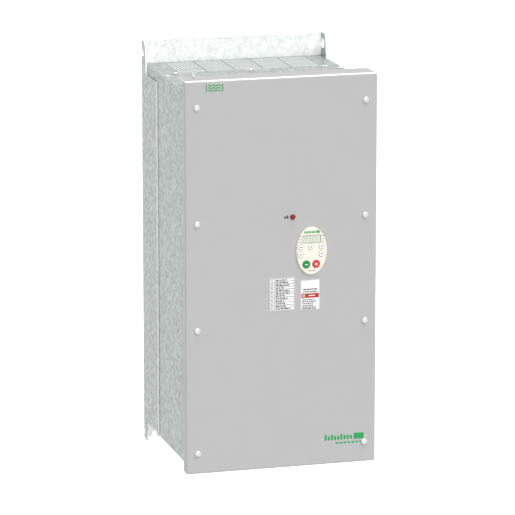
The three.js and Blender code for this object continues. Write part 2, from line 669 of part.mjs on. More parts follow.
const electronics = new THREE.Group();
drive.add(electronics);
add('power_module', powerModule(), look.black, electronics);
add('power_board', boardOnPillars(POWER_BOARD, POWER_BOARD.y, MODULE_BACK), look.circuit, electronics);
for (let i = 0; i < CAPACITOR.count; i += 1) {
  add(`capacitor_${i + 1}`, capacitor(i), look.sleeve, electronics);
}
add('choke_core', chokeCore(), look.laminate, electronics);
add('choke_winding', chokeWinding(), look.copper, electronics);
add('line_filter', lineFilter(), look.zincScrew, electronics);
add('control_bracket', controlBracket(), look.galvanised, electronics);
add('control_board', boardOnPillars(CONTROL_BOARD, CONTROL_BOARD_Y, BRACKET.front - GAP),
  look.circuit, electronics);
add('control_terminals', controlTerminals(), look.greenKey, electronics);
add('power_terminals', powerTerminals(), look.grey, electronics);
add('earth_bar', earthBar(), look.brass, electronics);

const cover = new THREE.Group();
drive.add(cover);
add('front_cover', frontCover(), look.paint, cover);
add('cover_gasket', coverGasket(), look.gasket, cover);
coverScrewPlaces().forEach(([x, z], i) => {
  add(`cover_screw_${i + 1}`, coverScrew(x, z), look.zincScrew, cover);
});
add('bonding_stud', bondingStud(), look.zincScrew, cover);
add('charge_lamp', chargeLamp(), look.lamp, cover);
add('parameter_label', label(PARAMETER_LABEL), look.label, cover);
add('rating_label', label(RATING_LABEL), look.label, cover);
add('keypad_bezel', keypadBezel(), look.ivory, cover);
add('keypad_board', keypadBoard(), look.black, cover);
add('display_window', displayWindow(), look.display, cover);
for (const key of KEYS) {
  add(key.name, keypadKey(key), key.surface, cover);
}

export default drive;
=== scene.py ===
"""Looks for a wall-hung variable frequency drive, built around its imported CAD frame.

Shapes are written in millimetres as (points, faces) and turned into metres when a piece is
made. A shape's own axes are u to the right, v up and w towards the viewer of that side.
"""
import math
import random

import bmesh
import bpy
from mathutils import Matrix, Vector
from mathutils.geometry import normal, tessellate_polygon


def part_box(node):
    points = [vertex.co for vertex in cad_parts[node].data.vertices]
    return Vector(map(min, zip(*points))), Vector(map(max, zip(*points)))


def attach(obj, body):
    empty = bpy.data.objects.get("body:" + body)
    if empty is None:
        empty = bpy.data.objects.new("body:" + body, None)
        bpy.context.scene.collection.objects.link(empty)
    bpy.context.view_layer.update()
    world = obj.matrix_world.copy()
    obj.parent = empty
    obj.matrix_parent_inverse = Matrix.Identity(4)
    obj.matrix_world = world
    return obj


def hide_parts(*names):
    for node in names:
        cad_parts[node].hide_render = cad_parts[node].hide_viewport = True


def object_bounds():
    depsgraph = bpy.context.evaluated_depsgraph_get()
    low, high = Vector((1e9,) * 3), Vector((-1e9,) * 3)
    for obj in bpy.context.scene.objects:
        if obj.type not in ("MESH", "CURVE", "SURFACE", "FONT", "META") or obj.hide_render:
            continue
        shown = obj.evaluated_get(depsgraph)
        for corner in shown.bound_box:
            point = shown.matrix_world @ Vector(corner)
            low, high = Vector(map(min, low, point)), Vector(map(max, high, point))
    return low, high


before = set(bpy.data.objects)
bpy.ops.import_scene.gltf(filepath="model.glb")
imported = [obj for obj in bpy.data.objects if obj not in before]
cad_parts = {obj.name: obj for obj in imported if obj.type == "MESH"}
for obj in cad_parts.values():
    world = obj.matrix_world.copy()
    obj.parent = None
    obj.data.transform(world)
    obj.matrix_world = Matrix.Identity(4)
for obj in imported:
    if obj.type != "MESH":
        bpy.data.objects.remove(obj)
cad_box = [list(corner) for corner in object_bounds()]

MM = 0.001
SHEET = 2.0
dice = random.Random(7)

# ---------------------------------------------------------------- sides and places

SIDES = {
    "front": Matrix(((1, 0, 0), (0, 0, -1), (0, 1, 0))),
    "back": Matrix(((-1, 0, 0), (0, 0, 1), (0, 1, 0))),
    "top": Matrix.Identity(3),
    "bottom": Matrix(((1, 0, 0), (0, -1, 0), (0, 0, -1))),
    "right": Matrix(((0, 0, 1), (1, 0, 0), (0, 1, 0))),
    "left": Matrix(((0, 0, -1), (-1, 0, 0), (0, 1, 0))),
}


def on(side, x=0.0, y=0.0, z=0.0, turn=0.0):
    """Places a shape at a point, facing a side, turned by some degrees about its own w axis."""
    place = Matrix.Translation((x, y, z)) @ SIDES[side].to_4x4()
    return place @ Matrix.Rotation(math.radians(turn), 4, "Z")


class Box:
    """A CAD node's box at rest, in millimetres."""

    def __init__(self, node):
        low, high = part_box(node)
        self.x0, self.y0, self.z0 = (value / MM for value in low)
        self.x1, self.y1, self.z1 = (value / MM for value in high)
        self.x = (self.x0 + self.x1) / 2
        self.y = (self.y0 + self.y1) / 2
        self.z = (self.z0 + self.z1) / 2


# ---------------------------------------------------------------- outlines, counterclockwise

def circle(u, v, radius, count=32, tall=None):
    tall = radius if tall is None else tall
    steps = [2 * math.pi * k / count for k in range(count)]
    return [(u + radius * math.cos(a), v + tall * math.sin(a)) for a in steps]


def rectangle(u0, u1, v0, v1):
    return [(u0, v0), (u1, v0), (u1, v1), (u0, v1)]


def filleted(corners, radius, count=4):
    """A polygon with its corners rounded. A corner may carry its own radius as a third number."""
    loop = []
    for k, corner in enumerate(corners):
        here = Vector(corner[:2])
        back = Vector(corners[k - 1][:2]) - here
        ahead = Vector(corners[(k + 1) % len(corners)][:2]) - here
        own = corner[2] if len(corner) > 2 else radius
        angle = back.angle(ahead)
        if own <= 0 or abs(angle - math.pi) < 1e-4:
            loop.append(tuple(here))
            continue
        reach = min(own / math.tan(angle / 2), 0.49 * back.length, 0.49 * ahead.length)
        start, end = here + back.normalized() * reach, here + ahead.normalized() * reach
        bulge = reach * math.tan(angle / 2)
        centre = here + (back.normalized() + ahead.normalized()).normalized() * (
            bulge / math.sin(angle / 2))
        a0 = math.atan2(*(start - centre).yx)
        sweep = math.atan2(*(end - centre).yx) - a0
        sweep = (sweep + math.pi) % (2 * math.pi) - math.pi
        radius_here = (start - centre).length
        for step in range(count + 1):
            a = a0 + sweep * step / count
            loop.append((centre.x + radius_here * math.cos(a), centre.y + radius_here * math.sin(a)))
    return loop


def rounded(u0, u1, v0, v1, radius, count=4):
    return filleted(rectangle(u0, u1, v0, v1), radius, count)


def offset(loop, inset):
    """The loop moved inwards by inset, with mitred corners."""
    if inset == 0:
        return list(loop)
    moved = []
    for k, (u, v) in enumerate(loop):
        before, after = loop[k - 1], loop[(k + 1) % len(loop)]
        first = Vector((u - before[0], v - before[1])).normalized()
        second = Vector((after[0] - u, after[1] - v)).normalized()
        n1, n2 = Vector((-first.y, first.x)), Vector((-second.y, second.x))
        miter = (n1 + n2) / max(1 + n1.dot(n2), 0.2)
        moved.append((u + inset * miter.x, v + inset * miter.y))
    return moved


# ---------------------------------------------------------------- shapes

def eased(top, bottom, radius=0.3, count=2):
    """Insets and heights down a side with both of its edges rounded."""
    steps = [math.pi / 2 * k / count for k in range(count + 1)]
    arc = [(radius * (1 - math.sin(a)), radius * (1 - math.cos(a))) for a in steps]
    return [(i, top - d) for i, d in arc] + [(i, bottom + d) for i, d in reversed(arc)]


def plate(outline, rim, holes=(), hole_rim=None):
    """A closed body between a top and a bottom face. The rim lists (inset, height) from the top
    face's edge down to the bottom face's edge, and the holes follow theirs in the same way."""
    points, faces = [], []
    tops, bottoms = [], []
    for number, loop in enumerate([outline, *holes]):
        sign = 1 if number == 0 else -1
        profile = rim if number == 0 else (hole_rim or rim)
        start, count = len(points), len(loop)
        for inset, height in profile:
            points += [(u, v, height) for u, v in offset(loop, inset * sign)]
        for ring in range(len(profile) - 1):
            a, b = start + ring * count, start + (ring + 1) * count
            for i in range(count):
                j = (i + 1) % count
                quad = [a + i, b + i, b + j, a + j]
                faces.append(quad if sign > 0 else quad[::-1])
        tops.append(range(start, start + count))
        last = start + (len(profile) - 1) * count
        bottoms.append(range(last, last + count))
    for rings, up in ((tops, True), (bottoms, False)):
        order = [i for ring in rings for i in ring]
        loops = [[Vector((points[i][0], points[i][1], 0)) for i in ring] for ring in rings]
        for a, b, c in tessellate_polygon(loops):
            a, b, c = order[a], order[b], order[c]
            (ax, ay, _), (bx, by, _), (cx, cy, _) = points[a], points[b], points[c]
            area = (bx - ax) * (cy - ay) - (by - ay) * (cx - ax)
            faces.append([a, b, c] if (area > 0) == up else [a, c, b])
    return points, faces


def block(us, vs, ws, edge=0.4, count=2, corner=None):
    """A box between two values on each axis, with all its edges rounded."""
    corner = edge * 1.5 if corner is None else corner
    return plate(rounded(*us, *vs, corner, count + 1), eased(ws[1], ws[0], edge, count))


def turned(profile, count=32, lobes=6, closed=False):
    """A turned body: (radius, height) from the axis at the bottom, up the outside, to the axis at
    the top. A third number makes that ring wavy, by that share of its radius."""
    points, faces, rings = [], [], []
    for entry in profile:
        radius, height = entry[:2]
        wave = entry[2] if len(entry) > 2 else 0
        if radius == 0:
            rings.append([len(points)] * count)
            points.append((0, 0, height))
            continue
        rings.append(list(range(len(points), len(points) + count)))
        for k in range(count):
            a = 2 * math.pi * k / count
            r = radius * (1 + wave * math.cos(lobes * a))
            points.append((r * math.cos(a), r * math.sin(a), height))
    pairs = list(zip(rings, rings[1:] + rings[:1] if closed else rings[1:]))
    for low, high in pairs:
        for i in range(count):
            j = (i + 1) % count
            face = [low[i], low[j], high[j], high[i]]
            faces.append([p for n, p in enumerate(face) if p not in face[:n]])
    return points, faces


def tube(path, radius, count=8, closed=False):
    """A round bar along a line of points, with flat ends unless it is closed."""
    path = [Vector(p) for p in path]
    points, faces = [], []
    normal = None
    for k, here in enumerate(path):
        before = path[k - 1] if closed or k else here
        after = path[(k + 1) % len(path)] if closed or k + 1 < len(path) else here
        along = (after - before).normalized()
        if normal is None:
            normal = along.orthogonal().normalized()
        normal = (normal - along * normal.dot(along)).normalized()
        side = along.cross(normal)
        for i in range(count):
            a = 2 * math.pi * i / count
            points.append(tuple(here + radius * (math.cos(a) * normal + math.sin(a) * side)))
    total = len(path)
    for k in range(total if closed else total - 1):
        a, b = k * count, ((k + 1) % total) * count
        for i in range(count):
            j = (i + 1) % count
            faces.append([a + i, a + j, b + j, b + i])
    if not closed:
        faces.append(list(range(count))[::-1])
        faces.append(list(range((total - 1) * count, total * count)))
    return points, faces


def moved(shape, change):
    points, faces = shape
    return [tuple(change(Vector(p))) for p in points], faces


def cut_across(shape, axis, values):
    """The same shape with its faces split at planes of constant u, v or w."""
    points, faces = shape
    mesh = bmesh.new()
    made = [mesh.verts.new(p) for p in points]
    for face in faces:
        mesh.faces.new([made[i] for i in face])
    across = Vector([1.0 if i == axis else 0.0 for i in range(3)])
    for value in values:
        bmesh.ops.bisect_plane(mesh, geom=mesh.verts[:] + mesh.edges[:] + mesh.faces[:], dist=1e-4,
                               plane_co=across * value, plane_no=across)
    mesh.verts.index_update()
    result = [tuple(v.co) for v in mesh.verts], [[v.index for v in f.verts] for f in mesh.faces]
    mesh.free()
    return result


class Form:
    """Shapes gathered for one piece, each with the surface it shows."""

    def __init__(self):
        self.points, self.faces, self.surfaces = [], [], []

    def add(self, shape, surface, place=None):
        start = len(self.points)
        points, faces = shape
        for point in points:
            self.points.append(place @ Vector(point) if place else Vector(point))
        self.faces += [[start + i for i in face] for face in faces]
        self.surfaces += [surface] * len(faces)
        return self

    def show(self, surface, test):
        """Gives a surface to the faces whose outward direction passes a test."""
        for number, face in enumerate(self.faces):
            if test(normal([self.points[i] for i in face])):
                self.surfaces[number] = surface
        return self


def make(name, form, body, nodes=(), sharp=34):
    """Turns a form into a piece that rides on a CAD body and stands for CAD nodes."""
    mesh = bpy.data.meshes.new(name)
    mesh.from_pydata([p * MM for p in form.points], [], form.faces)
    names = list(dict.fromkeys(form.surfaces))
    for surface in names:
        mesh.materials.append(SURFACES[surface])
    mesh.polygons.foreach_set("material_index", [names.index(s) for s in form.surfaces])
    clean = bmesh.new()
    clean.from_mesh(mesh)
    bmesh.ops.dissolve_degenerate(clean, edges=clean.edges, dist=1e-7)
    clean.to_mesh(mesh)
    clean.free()
    mesh.polygons.foreach_set("use_smooth", [True] * len(mesh.polygons))
    mesh.update()
    mesh.set_sharp_from_angle(angle=math.radians(sharp))
    piece = bpy.data.objects.new(name, mesh)
    bpy.context.scene.collection.objects.link(piece)
    weigh = piece.modifiers.new("even_shading", "WEIGHTED_NORMAL")
    weigh.keep_sharp = True
    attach(piece, body)
    if nodes:
        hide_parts(*nodes)
    return piece


# ---------------------------------------------------------------- materials

class Nodes:
    """A material under construction, with a few helpers for its nodes."""

    def __init__(self, name, **sockets):
        self.material = bpy.data.materials.new(name)
        self.material.use_nodes = True
        self.tree = self.material.node_tree
        self.shader = self.tree.nodes["Principled BSDF"]
        for socket, value in sockets.items():
            self.shader.inputs[socket.replace("_", " ")].default_value = value
        self.place = self.tree.nodes.new("ShaderNodeTexCoord").outputs["Object"]

    def node(self, kind, **settings):
        made = self.tree.nodes.new(kind)
        for key, value in settings.items():
            setattr(made, key, value)
        return made

    def join(self, source, target):
        self.tree.links.new(source, target)

    def stretched(self, x, y, z):
        mapping = self.node("ShaderNodeMapping")
        mapping.inputs["Scale"].default_value = (x, y, z)
        self.join(self.place, mapping.inputs["Vector"])
        return mapping.outputs["Vector"]

    def noise(self, size, detail=3.0, rough=0.5, where=None):
        """A soft pattern whose blobs are about size millimetres across."""
        texture = self.node("ShaderNodeTexNoise")
        texture.inputs["Scale"].default_value = 1 / (size * MM)
        texture.inputs["Detail"].default_value = detail
        texture.inputs["Roughness"].default_value = rough
        self.join(where or self.place, texture.inputs["Vector"])
        return texture.outputs["Fac"]

    def cells(self, size, where=None):
        """One random tone per crystal of about size millimetres."""
        texture = self.node("ShaderNodeTexVoronoi")
        texture.inputs["Scale"].default_value = 1 / (size * MM)
        self.join(where or self.place, texture.inputs["Vector"])
        split = self.node("ShaderNodeSeparateColor")
        self.join(texture.outputs["Color"], split.inputs["Color"])
        return split.outputs["Red"]

    def blend(self, first, second, share):
        """Two patterns mixed by a fixed share of the second."""
        mix = self.node("ShaderNodeMix", data_type="FLOAT")
        mix.inputs["Factor"].default_value = share
        self.join(first, mix.inputs["A"])
        self.join(second, mix.inputs["B"])
        return mix.outputs["Result"]

    def ramp(self, pattern, stops):
        """Colours along a pattern, given as (position, colour)."""
        ramp = self.node("ShaderNodeValToRGB")
        elements = ramp.color_ramp.elements
        while len(elements) < len(stops):
            elements.new(0.5)
        for element, (position, color) in zip(elements, stops):
            element.position = position
            element.color = (*color, 1)
        self.join(pattern, ramp.inputs["Fac"])
        return ramp.outputs["Color"]

    def scaled(self, pattern, low, high):
        """A pattern mapped from 0..1 to low..high."""
        span = self.node("ShaderNodeMapRange")
        span.inputs["To Min"].default_value = low
        span.inputs["To Max"].default_value = high
        self.join(pattern, span.inputs["Value"])
        return span.outputs["Result"]

    def color(self, output):
        self.join(output, self.shader.inputs["Base Color"])
        return self

    def roughness(self, pattern, low, high):
        self.join(self.scaled(pattern, low, high), self.shader.inputs["Roughness"])
        return self

    def bump(self, pattern, depth):
        """Relief of about depth millimetres."""
        node = self.node("ShaderNodeBump")
        node.inputs["Distance"].default_value = depth * MM
        self.join(pattern, node.inputs["Height"])
        self.join(node.outputs["Normal"], self.shader.inputs["Normal"])
        return self


def tone(red, green, blue):
    """A colour in the usual 0 to 255 numbers, as the linear light a shader takes."""
    def linear(value):
        value /= 255
        return value / 12.92 if value <= 0.04045 else ((value + 0.055) / 1.055) ** 2.4
    return linear(red), linear(green), linear(blue)


def shades(color, spread):
    """A darker and a lighter form of one colour."""
    return [(0.25, [c * (1 - spread) for c in color]), (0.75, [c * (1 + spread) for c in color])]


SURFACES = {}


def plain(name, color, spread=0.05, grain=1.5, rough=(0.4, 0.5), depth=0.01, **sockets):
    """A moulded, painted or printed surface: slight tone changes, gloss changes and fine relief."""
    surface = Nodes(name, **sockets)
    fine = surface.noise(grain, 3)
    broad = surface.noise(grain * 22, 2)
    surface.color(surface.ramp(surface.blend(fine, broad, 0.5), shades(color, spread)))
    surface.roughness(broad, *rough)
    surface.bump(fine, depth)
    SURFACES[name] = surface.material
    return surface


def galvanised(name, light, spread, crystal, streak, rough, metal):
    """Hot-dip zinc: small crystals and soft clouds of different tone, drawn out in one direction."""
    surface = Nodes(name, Metallic=metal)
    where = surface.stretched(*streak)
    crystals = surface.blend(surface.cells(crystal, where), surface.cells(crystal * 0.5, where), 0.4)
    clouds = surface.noise(crystal * 2.0, 4, 0.65, where)
    pattern = surface.blend(crystals, clouds, 0.62)
    surface.color(surface.ramp(pattern, [
        (0.36, [c * (1 - spread) for c in light]), (0.5, light),
        (0.64, [min(c * (1 + spread), 1) for c in light])]))
    surface.roughness(pattern, *rough)
    surface.bump(surface.noise(crystal * 0.3, 3), 0.015)
    SURFACES[name] = surface.material


galvanised("zinc_sheet", tone(172, 180, 177), 0.34, 2.8, (1, 1, 0.55), (0.40, 0.54), 0.25)
# A darker copy of the galvanised sheet for the top plate's upward faces: its low tone is painted shade that
# holds back the strong light from above.
galvanised("zinc_roof_painted_shade", tone(145, 151, 149), 0.30, 4.0, (1, 0.5, 1), (0.40, 0.54), 0.25)
# A lighter copy of the galvanised sheet: its high tone is a painted sheen on the faces that look to the
# front.
galvanised("zinc_with_painted_sheen", tone(246, 250, 248), 0.10, 4.2, (1, 1, 0.8), (0.30, 0.44), 0.35)
plain("cover_paint", tone(181, 181, 181), 0.012, 0.9, (0.42, 0.50), 0.006)
# A darker copy of the cover paint for faces that look up: painted shade that holds back the strong light
# from above.
plain("hood_paint_painted_shade", tone(150, 149, 149), 0.012, 0.9, (0.42, 0.50), 0.006)
# A near-white copy of the cover paint for the rounded top bend: a painted highlight.
plain("edge_paint_painted_highlight", tone(246, 246, 246), 0.012, 0.9, (0.36, 0.44), 0.006)
plain("vent_metal", tone(178, 183, 181), 0.10, 1.2, (0.38, 0.48), 0.006, Metallic=0.2)
plain("bright_zinc", tone(230, 231, 232), 0.03, 0.8, (0.24, 0.34), 0.004, Metallic=0.35)
plain("shade_line", tone(92, 94, 96), 0.05, 1.0, (0.5, 0.6), 0.004)
plain("gasket_foam", tone(34, 34, 36), 0.18, 0.7, (0.85, 0.95), 0.12)
plain("ivory", tone(238, 234, 221), 0.012, 1.1, (0.34, 0.42), 0.004)
plain("key_white", tone(247, 247, 243), 0.012, 1.0, (0.30, 0.40), 0.004)
plain("key_green", tone(16, 142, 74), 0.04, 1.0, (0.28, 0.38), 0.004)
plain("key_red", tone(208, 58, 56), 0.04, 1.0, (0.28, 0.38), 0.004)
plain("print_green", tone(32, 158, 84), 0.04, 1.2, (0.36, 0.46), 0.003)
plain("print_dark", tone(40, 42, 46), 0.05, 0.8, (0.40, 0.50), 0.003)
plain("print_grey", tone(118, 120, 122), 0.05, 0.8, (0.40, 0.50), 0.003)
plain("print_red", tone(186, 44, 44), 0.04, 0.8, (0.40, 0.50), 0.003)
plain("print_ochre", tone(176, 120, 52), 0.05, 0.8, (0.40, 0.50), 0.003)
plain("print_white", tone(250, 250, 248), 0.01, 0.8, (0.40, 0.50), 0.003)
plain("label_foil", tone(248, 248, 247), 0.01, 1.4, (0.36, 0.46), 0.004)
plain("display_field", tone(206, 214, 196), 0.02, 0.7, (0.22, 0.30), 0.002)
plain("aluminium", tone(206, 210, 210), 0.05, 0.8, (0.30, 0.42), 0.006, Metallic=0.85)
plain("black_plastic", tone(40, 41, 43), 0.10, 0.7, (0.42, 0.55), 0.012)
plain("dark_plastic", tone(62, 64, 68), 0.08, 0.7, (0.42, 0.55), 0.010)
plain("solder_mask", tone(28, 96, 62), 0.07, 1.0, (0.26, 0.36), 0.004)
plain("track", tone(42, 122, 80), 0.06, 0.8, (0.26, 0.36), 0.004)
plain("sleeve", tone(38, 46, 70), 0.07, 1.0, (0.22, 0.32), 0.004)
plain("enamel_copper", tone(176, 92, 50), 0.10, 0.9, (0.24, 0.38), 0.006, Metallic=0.7)
plain("lamination", tone(86, 88, 92), 0.12, 0.8, (0.45, 0.62), 0.012, Metallic=0.5)
plain("grey_plastic", tone(142, 146, 149), 0.05, 0.8, (0.40, 0.52), 0.010)
plain("green_plastic", tone(52, 140, 84), 0.05, 0.8, (0.34, 0.46), 0.008)
plain("brass", tone(206, 172, 92), 0.07, 0.8, (0.24, 0.36), 0.005, Metallic=0.85)
plain("tin", tone(204, 206, 208), 0.06, 0.7, (0.28, 0.40), 0.005, Metallic=0.8)
plain("blue_plastic", tone(44, 86, 148), 0.06, 0.8, (0.36, 0.48), 0.008)
plain("beige_ceramic", tone(206, 190, 158), 0.06, 0.7, (0.40, 0.52), 0.008)
plain("fan_label", tone(226, 226, 222), 0.02, 0.9, (0.40, 0.50), 0.003)
plain("lamp_red", tone(140, 24, 30), 0.06, 0.8, (0.16, 0.22), 0.002, Coat_Weight=0.2)

# ---------------------------------------------------------------- back channel and housing

channel = Box("rear_channel")
WING_TOP, WING_BOTTOM = 279.0, -296.2
FLANGE_ROOT, FLANGE_TIP = 32.0, 24.0
BEND = 1.5


def bent_channel():
    """The back plate, wings and flanges, cut flat and then folded along two bends."""
    outer = BEND + SHEET
    straight = channel.x1 - outer
    arc = (BEND + SHEET / 2) * math.pi / 2

    def along(depth):
        return straight + arc + depth - outer

    edge = -channel.y0
    side = [
        (along(FLANGE_TIP), channel.z0, 5), (along(FLANGE_ROOT), WING_BOTTOM, 1),
        (along(edge), WING_BOTTOM, 1.2), (along(edge), WING_TOP, 1.2),
        (along(FLANGE_ROOT), WING_TOP, 1), (along(FLANGE_TIP), channel.z1, 4),
    ]
    key = {"x": 133.5, "z": 310, "radius": 6.5, "slot": 3, "top": 323}
    notch = {"radius": 3.25, "top": 11}

    def open_slot(x):
        top = channel.z0 + notch["top"] - notch["radius"]
        arch = [(x - notch["radius"] * math.cos(a), top + notch["radius"] * math.sin(a))
                for a in [math.pi * k / 8 for k in range(9)]]
        return [(x - notch["radius"], channel.z0), *arch, (x + notch["radius"], channel.z0)]

    slots = [(*point, 0) for x in (-key["x"], key["x"]) for point in open_slot(x)]
    other = [(-u, v, radius) for u, v, radius in reversed(side)]
    outline = filleted([*slots, *side, *other], 0, 5)

    def keyhole(x):
        half = math.asin(key["slot"] / key["radius"])
        turns = [math.pi / 2 + half + (2 * math.pi - 2 * half) * k / 24 for k in range(25)]
        eye = [(x + key["radius"] * math.cos(a), key["z"] + key["radius"] * math.sin(a))
               for a in turns]
        top = key["top"] - key["slot"]
        arch = [(x + key["slot"] * math.cos(a), top + key["slot"] * math.sin(a))
                for a in [math.pi * k / 8 for k in range(9)]]
        return [*eye, *arch]

    holes = [keyhole(x) for x in (-key["x"], key["x"])]
    for sign in (-1, 1):
        for z in (313.5, -318.0):
            holes.append(circle(sign * along(11), z, 8, 28))
    flat = plate(outline, eased(0, -SHEET, 0.25), holes)
    bends = [straight + arc * k / 6 for k in range(7)]
    flat = cut_across(flat, 0, [sign * s for s in bends for sign in (-1, 1)])

    def folded(point):
        sign, s, depth = math.copysign(1, point.x), abs(point.x), -point.z
        if s <= straight:
            return Vector((sign * s, -depth, point.y))
        if s >= straight + arc:
            return Vector((sign * (channel.x1 - depth), -outer - (s - straight - arc), point.y))
        a = (s - straight) / arc * math.pi / 2
        r = outer - depth
        return Vector((sign * (straight + r * math.sin(a)), -outer + r * math.cos(a), point.y))

    points, faces = moved(flat, folded)
    return points, [face[::-1] for face in faces]


# The channel's front-facing faces take the lighter zinc as a painted sheen; all its other faces keep the
# plain zinc_sheet.
form = Form().add(bent_channel(), "zinc_with_painted_sheen").show("zinc_sheet", lambda way: way.y > -0.3)
make("rear_channel_sheet", form, "enclosure", ["rear_channel"], 30)

right_side, left_side, top = Box("right_side_panel"), Box("left_side_panel"), Box("top_plate")
housing = Box("front_frame")


def packing(side, inner):
    """The strip that fills the step between a wing and the side panel, along two of its edges."""
    front, back, low, high, width = channel.y0 + 1.2, -FLANGE_ROOT - 2, WING_BOTTOM + 1, WING_TOP - 1.2, 5
    corners = [(front, low), (front + width, low), (front + width, high - width), (back, high - width),
               (back, high), (front, high)]
    if side == "left":
        corners = [(-u, v) for u, v in reversed(corners)]
    gap = channel.x1 - SHEET - inner
    return plate(corners, eased(gap - 0.1, 0.1, 0.3))


for name, box, side in (("right", right_side, "right"), ("left", left_side, "left")):
    us = (box.y0, box.y1) if side == "right" else (-box.y1, -box.y0)
    face = box.x1 if side == "right" else -box.x0
    sheet = plate(rounded(*us, box.z0, top.z0 - 0.02, 1.6), eased(0, -SHEET, 0.15))
    place = on(side, x=face if side == "right" else -face)
    form = Form().add(sheet, "zinc_sheet", place).add(packing(side, face), "zinc_sheet", place)
    make(f"{name}_side_sheet", form, "enclosure", [f"{name}_side_panel"])

vent = Box("vent_grille")
top_screws = [Box(f"top_screw_{i}") for i in range(1, 6)]
holes = [circle(screw.x, screw.y, 2.3, 16) for screw in top_screws]
holes.append(rounded(vent.x0 - 1, vent.x1 + 1, vent.y0 - 0.6, vent.y1 + 0.6, 1.5))
roof = plate(rounded(top.x0, top.x1, top.y0, top.y1, 1.2), eased(0, -SHEET, 0.2), holes,
             eased(0, -SHEET, 0.25))
form = Form().add(roof, "zinc_roof_painted_shade", on("top", z=top.z1))
# The top plate's upward faces keep the darker zinc as painted shade; its edges get the plain zinc_sheet.
form.show("zinc_sheet", lambda way: abs(way.z) < 0.7)
make("top_plate_sheet", form, "enclosure", ["top_plate"])


def vent_panels():
    """Five light panels with fine slots, on two ribs and with rolled long edges."""
    form = Form()
    count, gap = 5, 2.2
    width = (vent.x1 - vent.x0 - (count - 1) * gap) / count
    for i in range(count):
        x0 = vent.x0 + i * (width + gap)
        slots = []
        lanes = 8
        pitch = (width - 5) / lanes
        for k in range(lanes):
            u = x0 + 2.5 + (k + 0.5) * pitch
            for v0, v1 in ((vent.y0 + 5, vent.y - 2), (vent.y + 2, vent.y1 - 5)):
                slots.append(rounded(u - 0.55, u + 0.55, v0, v1, 0.5, 3))
        panel = plate(rounded(x0, x0 + width, vent.y0, vent.y1, 1.5), eased(0, -SHEET, 0.5, 3),
                      slots, eased(0, -SHEET, 0.2, 1))
        form.add(panel, "vent_metal", on("top", z=vent.z1))
    for end in (-1, 1):
        y = vent.y + end * ((vent.y1 - vent.y0) / 2 - 2.5)
        form.add(block((vent.x0, vent.x1), (y - 1.5, y + 1.5), (vent.z0, vent.z1 - SHEET + 0.2)),
                 "vent_metal")
    form.add(block((vent.x0, vent.x1), (vent.y - 1, vent.y + 1), (vent.z0, vent.z1 - SHEET + 0.2)),
             "vent_metal")
    return form


make("vent_panels", vent_panels(), "enclosure", ["vent_grille"])

gland = Box("gland_plate")
plugs = [Box(f"blanking_plug_{i}") for i in (1, 2, 3)]
holes = [circle(plug.x, -plug.y, 16.4, 40) for plug in plugs]
lip = plate(rounded(gland.x0, gland.x1, -gland.y1, -gland.y0, 2), eased(0, gland.z0 - gland.z1, 0.5, 3),
            holes, eased(0, gland.z0 - gland.z1, 0.3))
form = Form().add(lip, "zinc_sheet", on("bottom", z=gland.z0))
make("gland_plate_sheet", form, "enclosure", ["gland_plate"])

for number, plug in enumerate(plugs, 1):
    height = plug.z1 - plug.z0
    rise, seat, skin, body = height - 2.8, 2.85, 1.5, 15.8
    cup = turned([
        (0, 0.9), (4, 0.9), (4.4, 1.1), (4.8, 0.9), (9, 0.9), (9.4, 1.1), (9.8, 0.9), (13.4, 0.9),
        (14.2, 0.15), (15.4, 0), (body, 0.3), (body, seat), (19.4, seat), (20, seat + 0.5),
        (20, seat + rise - 0.4), (19.6, height), (body - skin + 0.3, height),
        (body - skin, height - 0.3), (body - skin, 2.4), (0, 2.4),
    ], 48)
    make(f"cable_plug_{number}", Form().add(cup, "black_plastic", on("top", plug.x, plug.y, plug.z0)),
         "enclosure", [f"blanking_plug_{number}"])

wall = Box("bulkhead")
sink = Box("heat_sink")
fin_bottom, fin_top, fin_half = -130.0, 245.0, 115.7
opening = rounded(-fin_half + 1, fin_half - 1, fin_bottom - 1, fin_top + 1, 2)
form = Form().add(plate(rounded(wall.x0, wall.x1, wall.z0, wall.z1, 1.5), eased(0, -SHEET, 0.3), [opening]),
                  "zinc_sheet", on("front", y=wall.y0))
make("bulkhead_sheet", form, "enclosure", ["bulkhead"])

frame_hole = {"half": 117, "bottom": -265, "top": 255}
cover_screws = [Box(f"cover_screw_{i}") for i in range(1, 9)]
holes = [rounded(-frame_hole["half"], frame_hole["half"], frame_hole["bottom"], frame_hole["top"], 6, 6)]
holes += [circle(screw.x, screw.z, 3, 20) for screw in cover_screws]
sheet = plate(rounded(housing.x0, housing.x1, housing.z0, housing.z1, 2), eased(0, -SHEET, 0.3), holes)
form = Form().add(sheet, "zinc_sheet", on("front", y=housing.y0))
for screw in cover_screws:
    insert = turned([(3.05, 0), (4.6, 0), (4.6, 2.6), (4.2, 3), (3.05, 3)], 20, closed=True)
    form.add(insert, "bright_zinc", on("back", screw.x, housing.y1 - 0.2, screw.z))
make("front_frame_sheet", form, "enclosure", ["front_frame"])

# ---------------------------------------------------------------- fasteners


def screw_profile(head, rise, shank, length):
    """A dome screw with a rim, a lobed drive recess in its head and turned thread below it."""
    threads, pitch = [], 1.0
    steps = int(length / pitch)
    for k in range(steps, 0, -1):
        threads += [(shank - 0.35, -k * pitch), (shank, -(k - 0.5) * pitch)]
    recess = head * 0.34
    return [
        (0, -length - 0.6), (shank - 0.7, -length - 0.6), *threads, (shank, -0.1), (head - 0.15, 0),
        (head, 0.2), (head, rise * 0.34), (head * 0.96, rise * 0.50), (head * 0.86, rise * 0.70),
        (head * 0.70, rise * 0.87), (head * 0.50, rise * 0.97), (recess * 1.1, rise, 0.05),
        (recess, rise * 0.98, 0.12), (recess * 0.9, rise * 0.60, 0.16), (0, rise * 0.52),
    ]


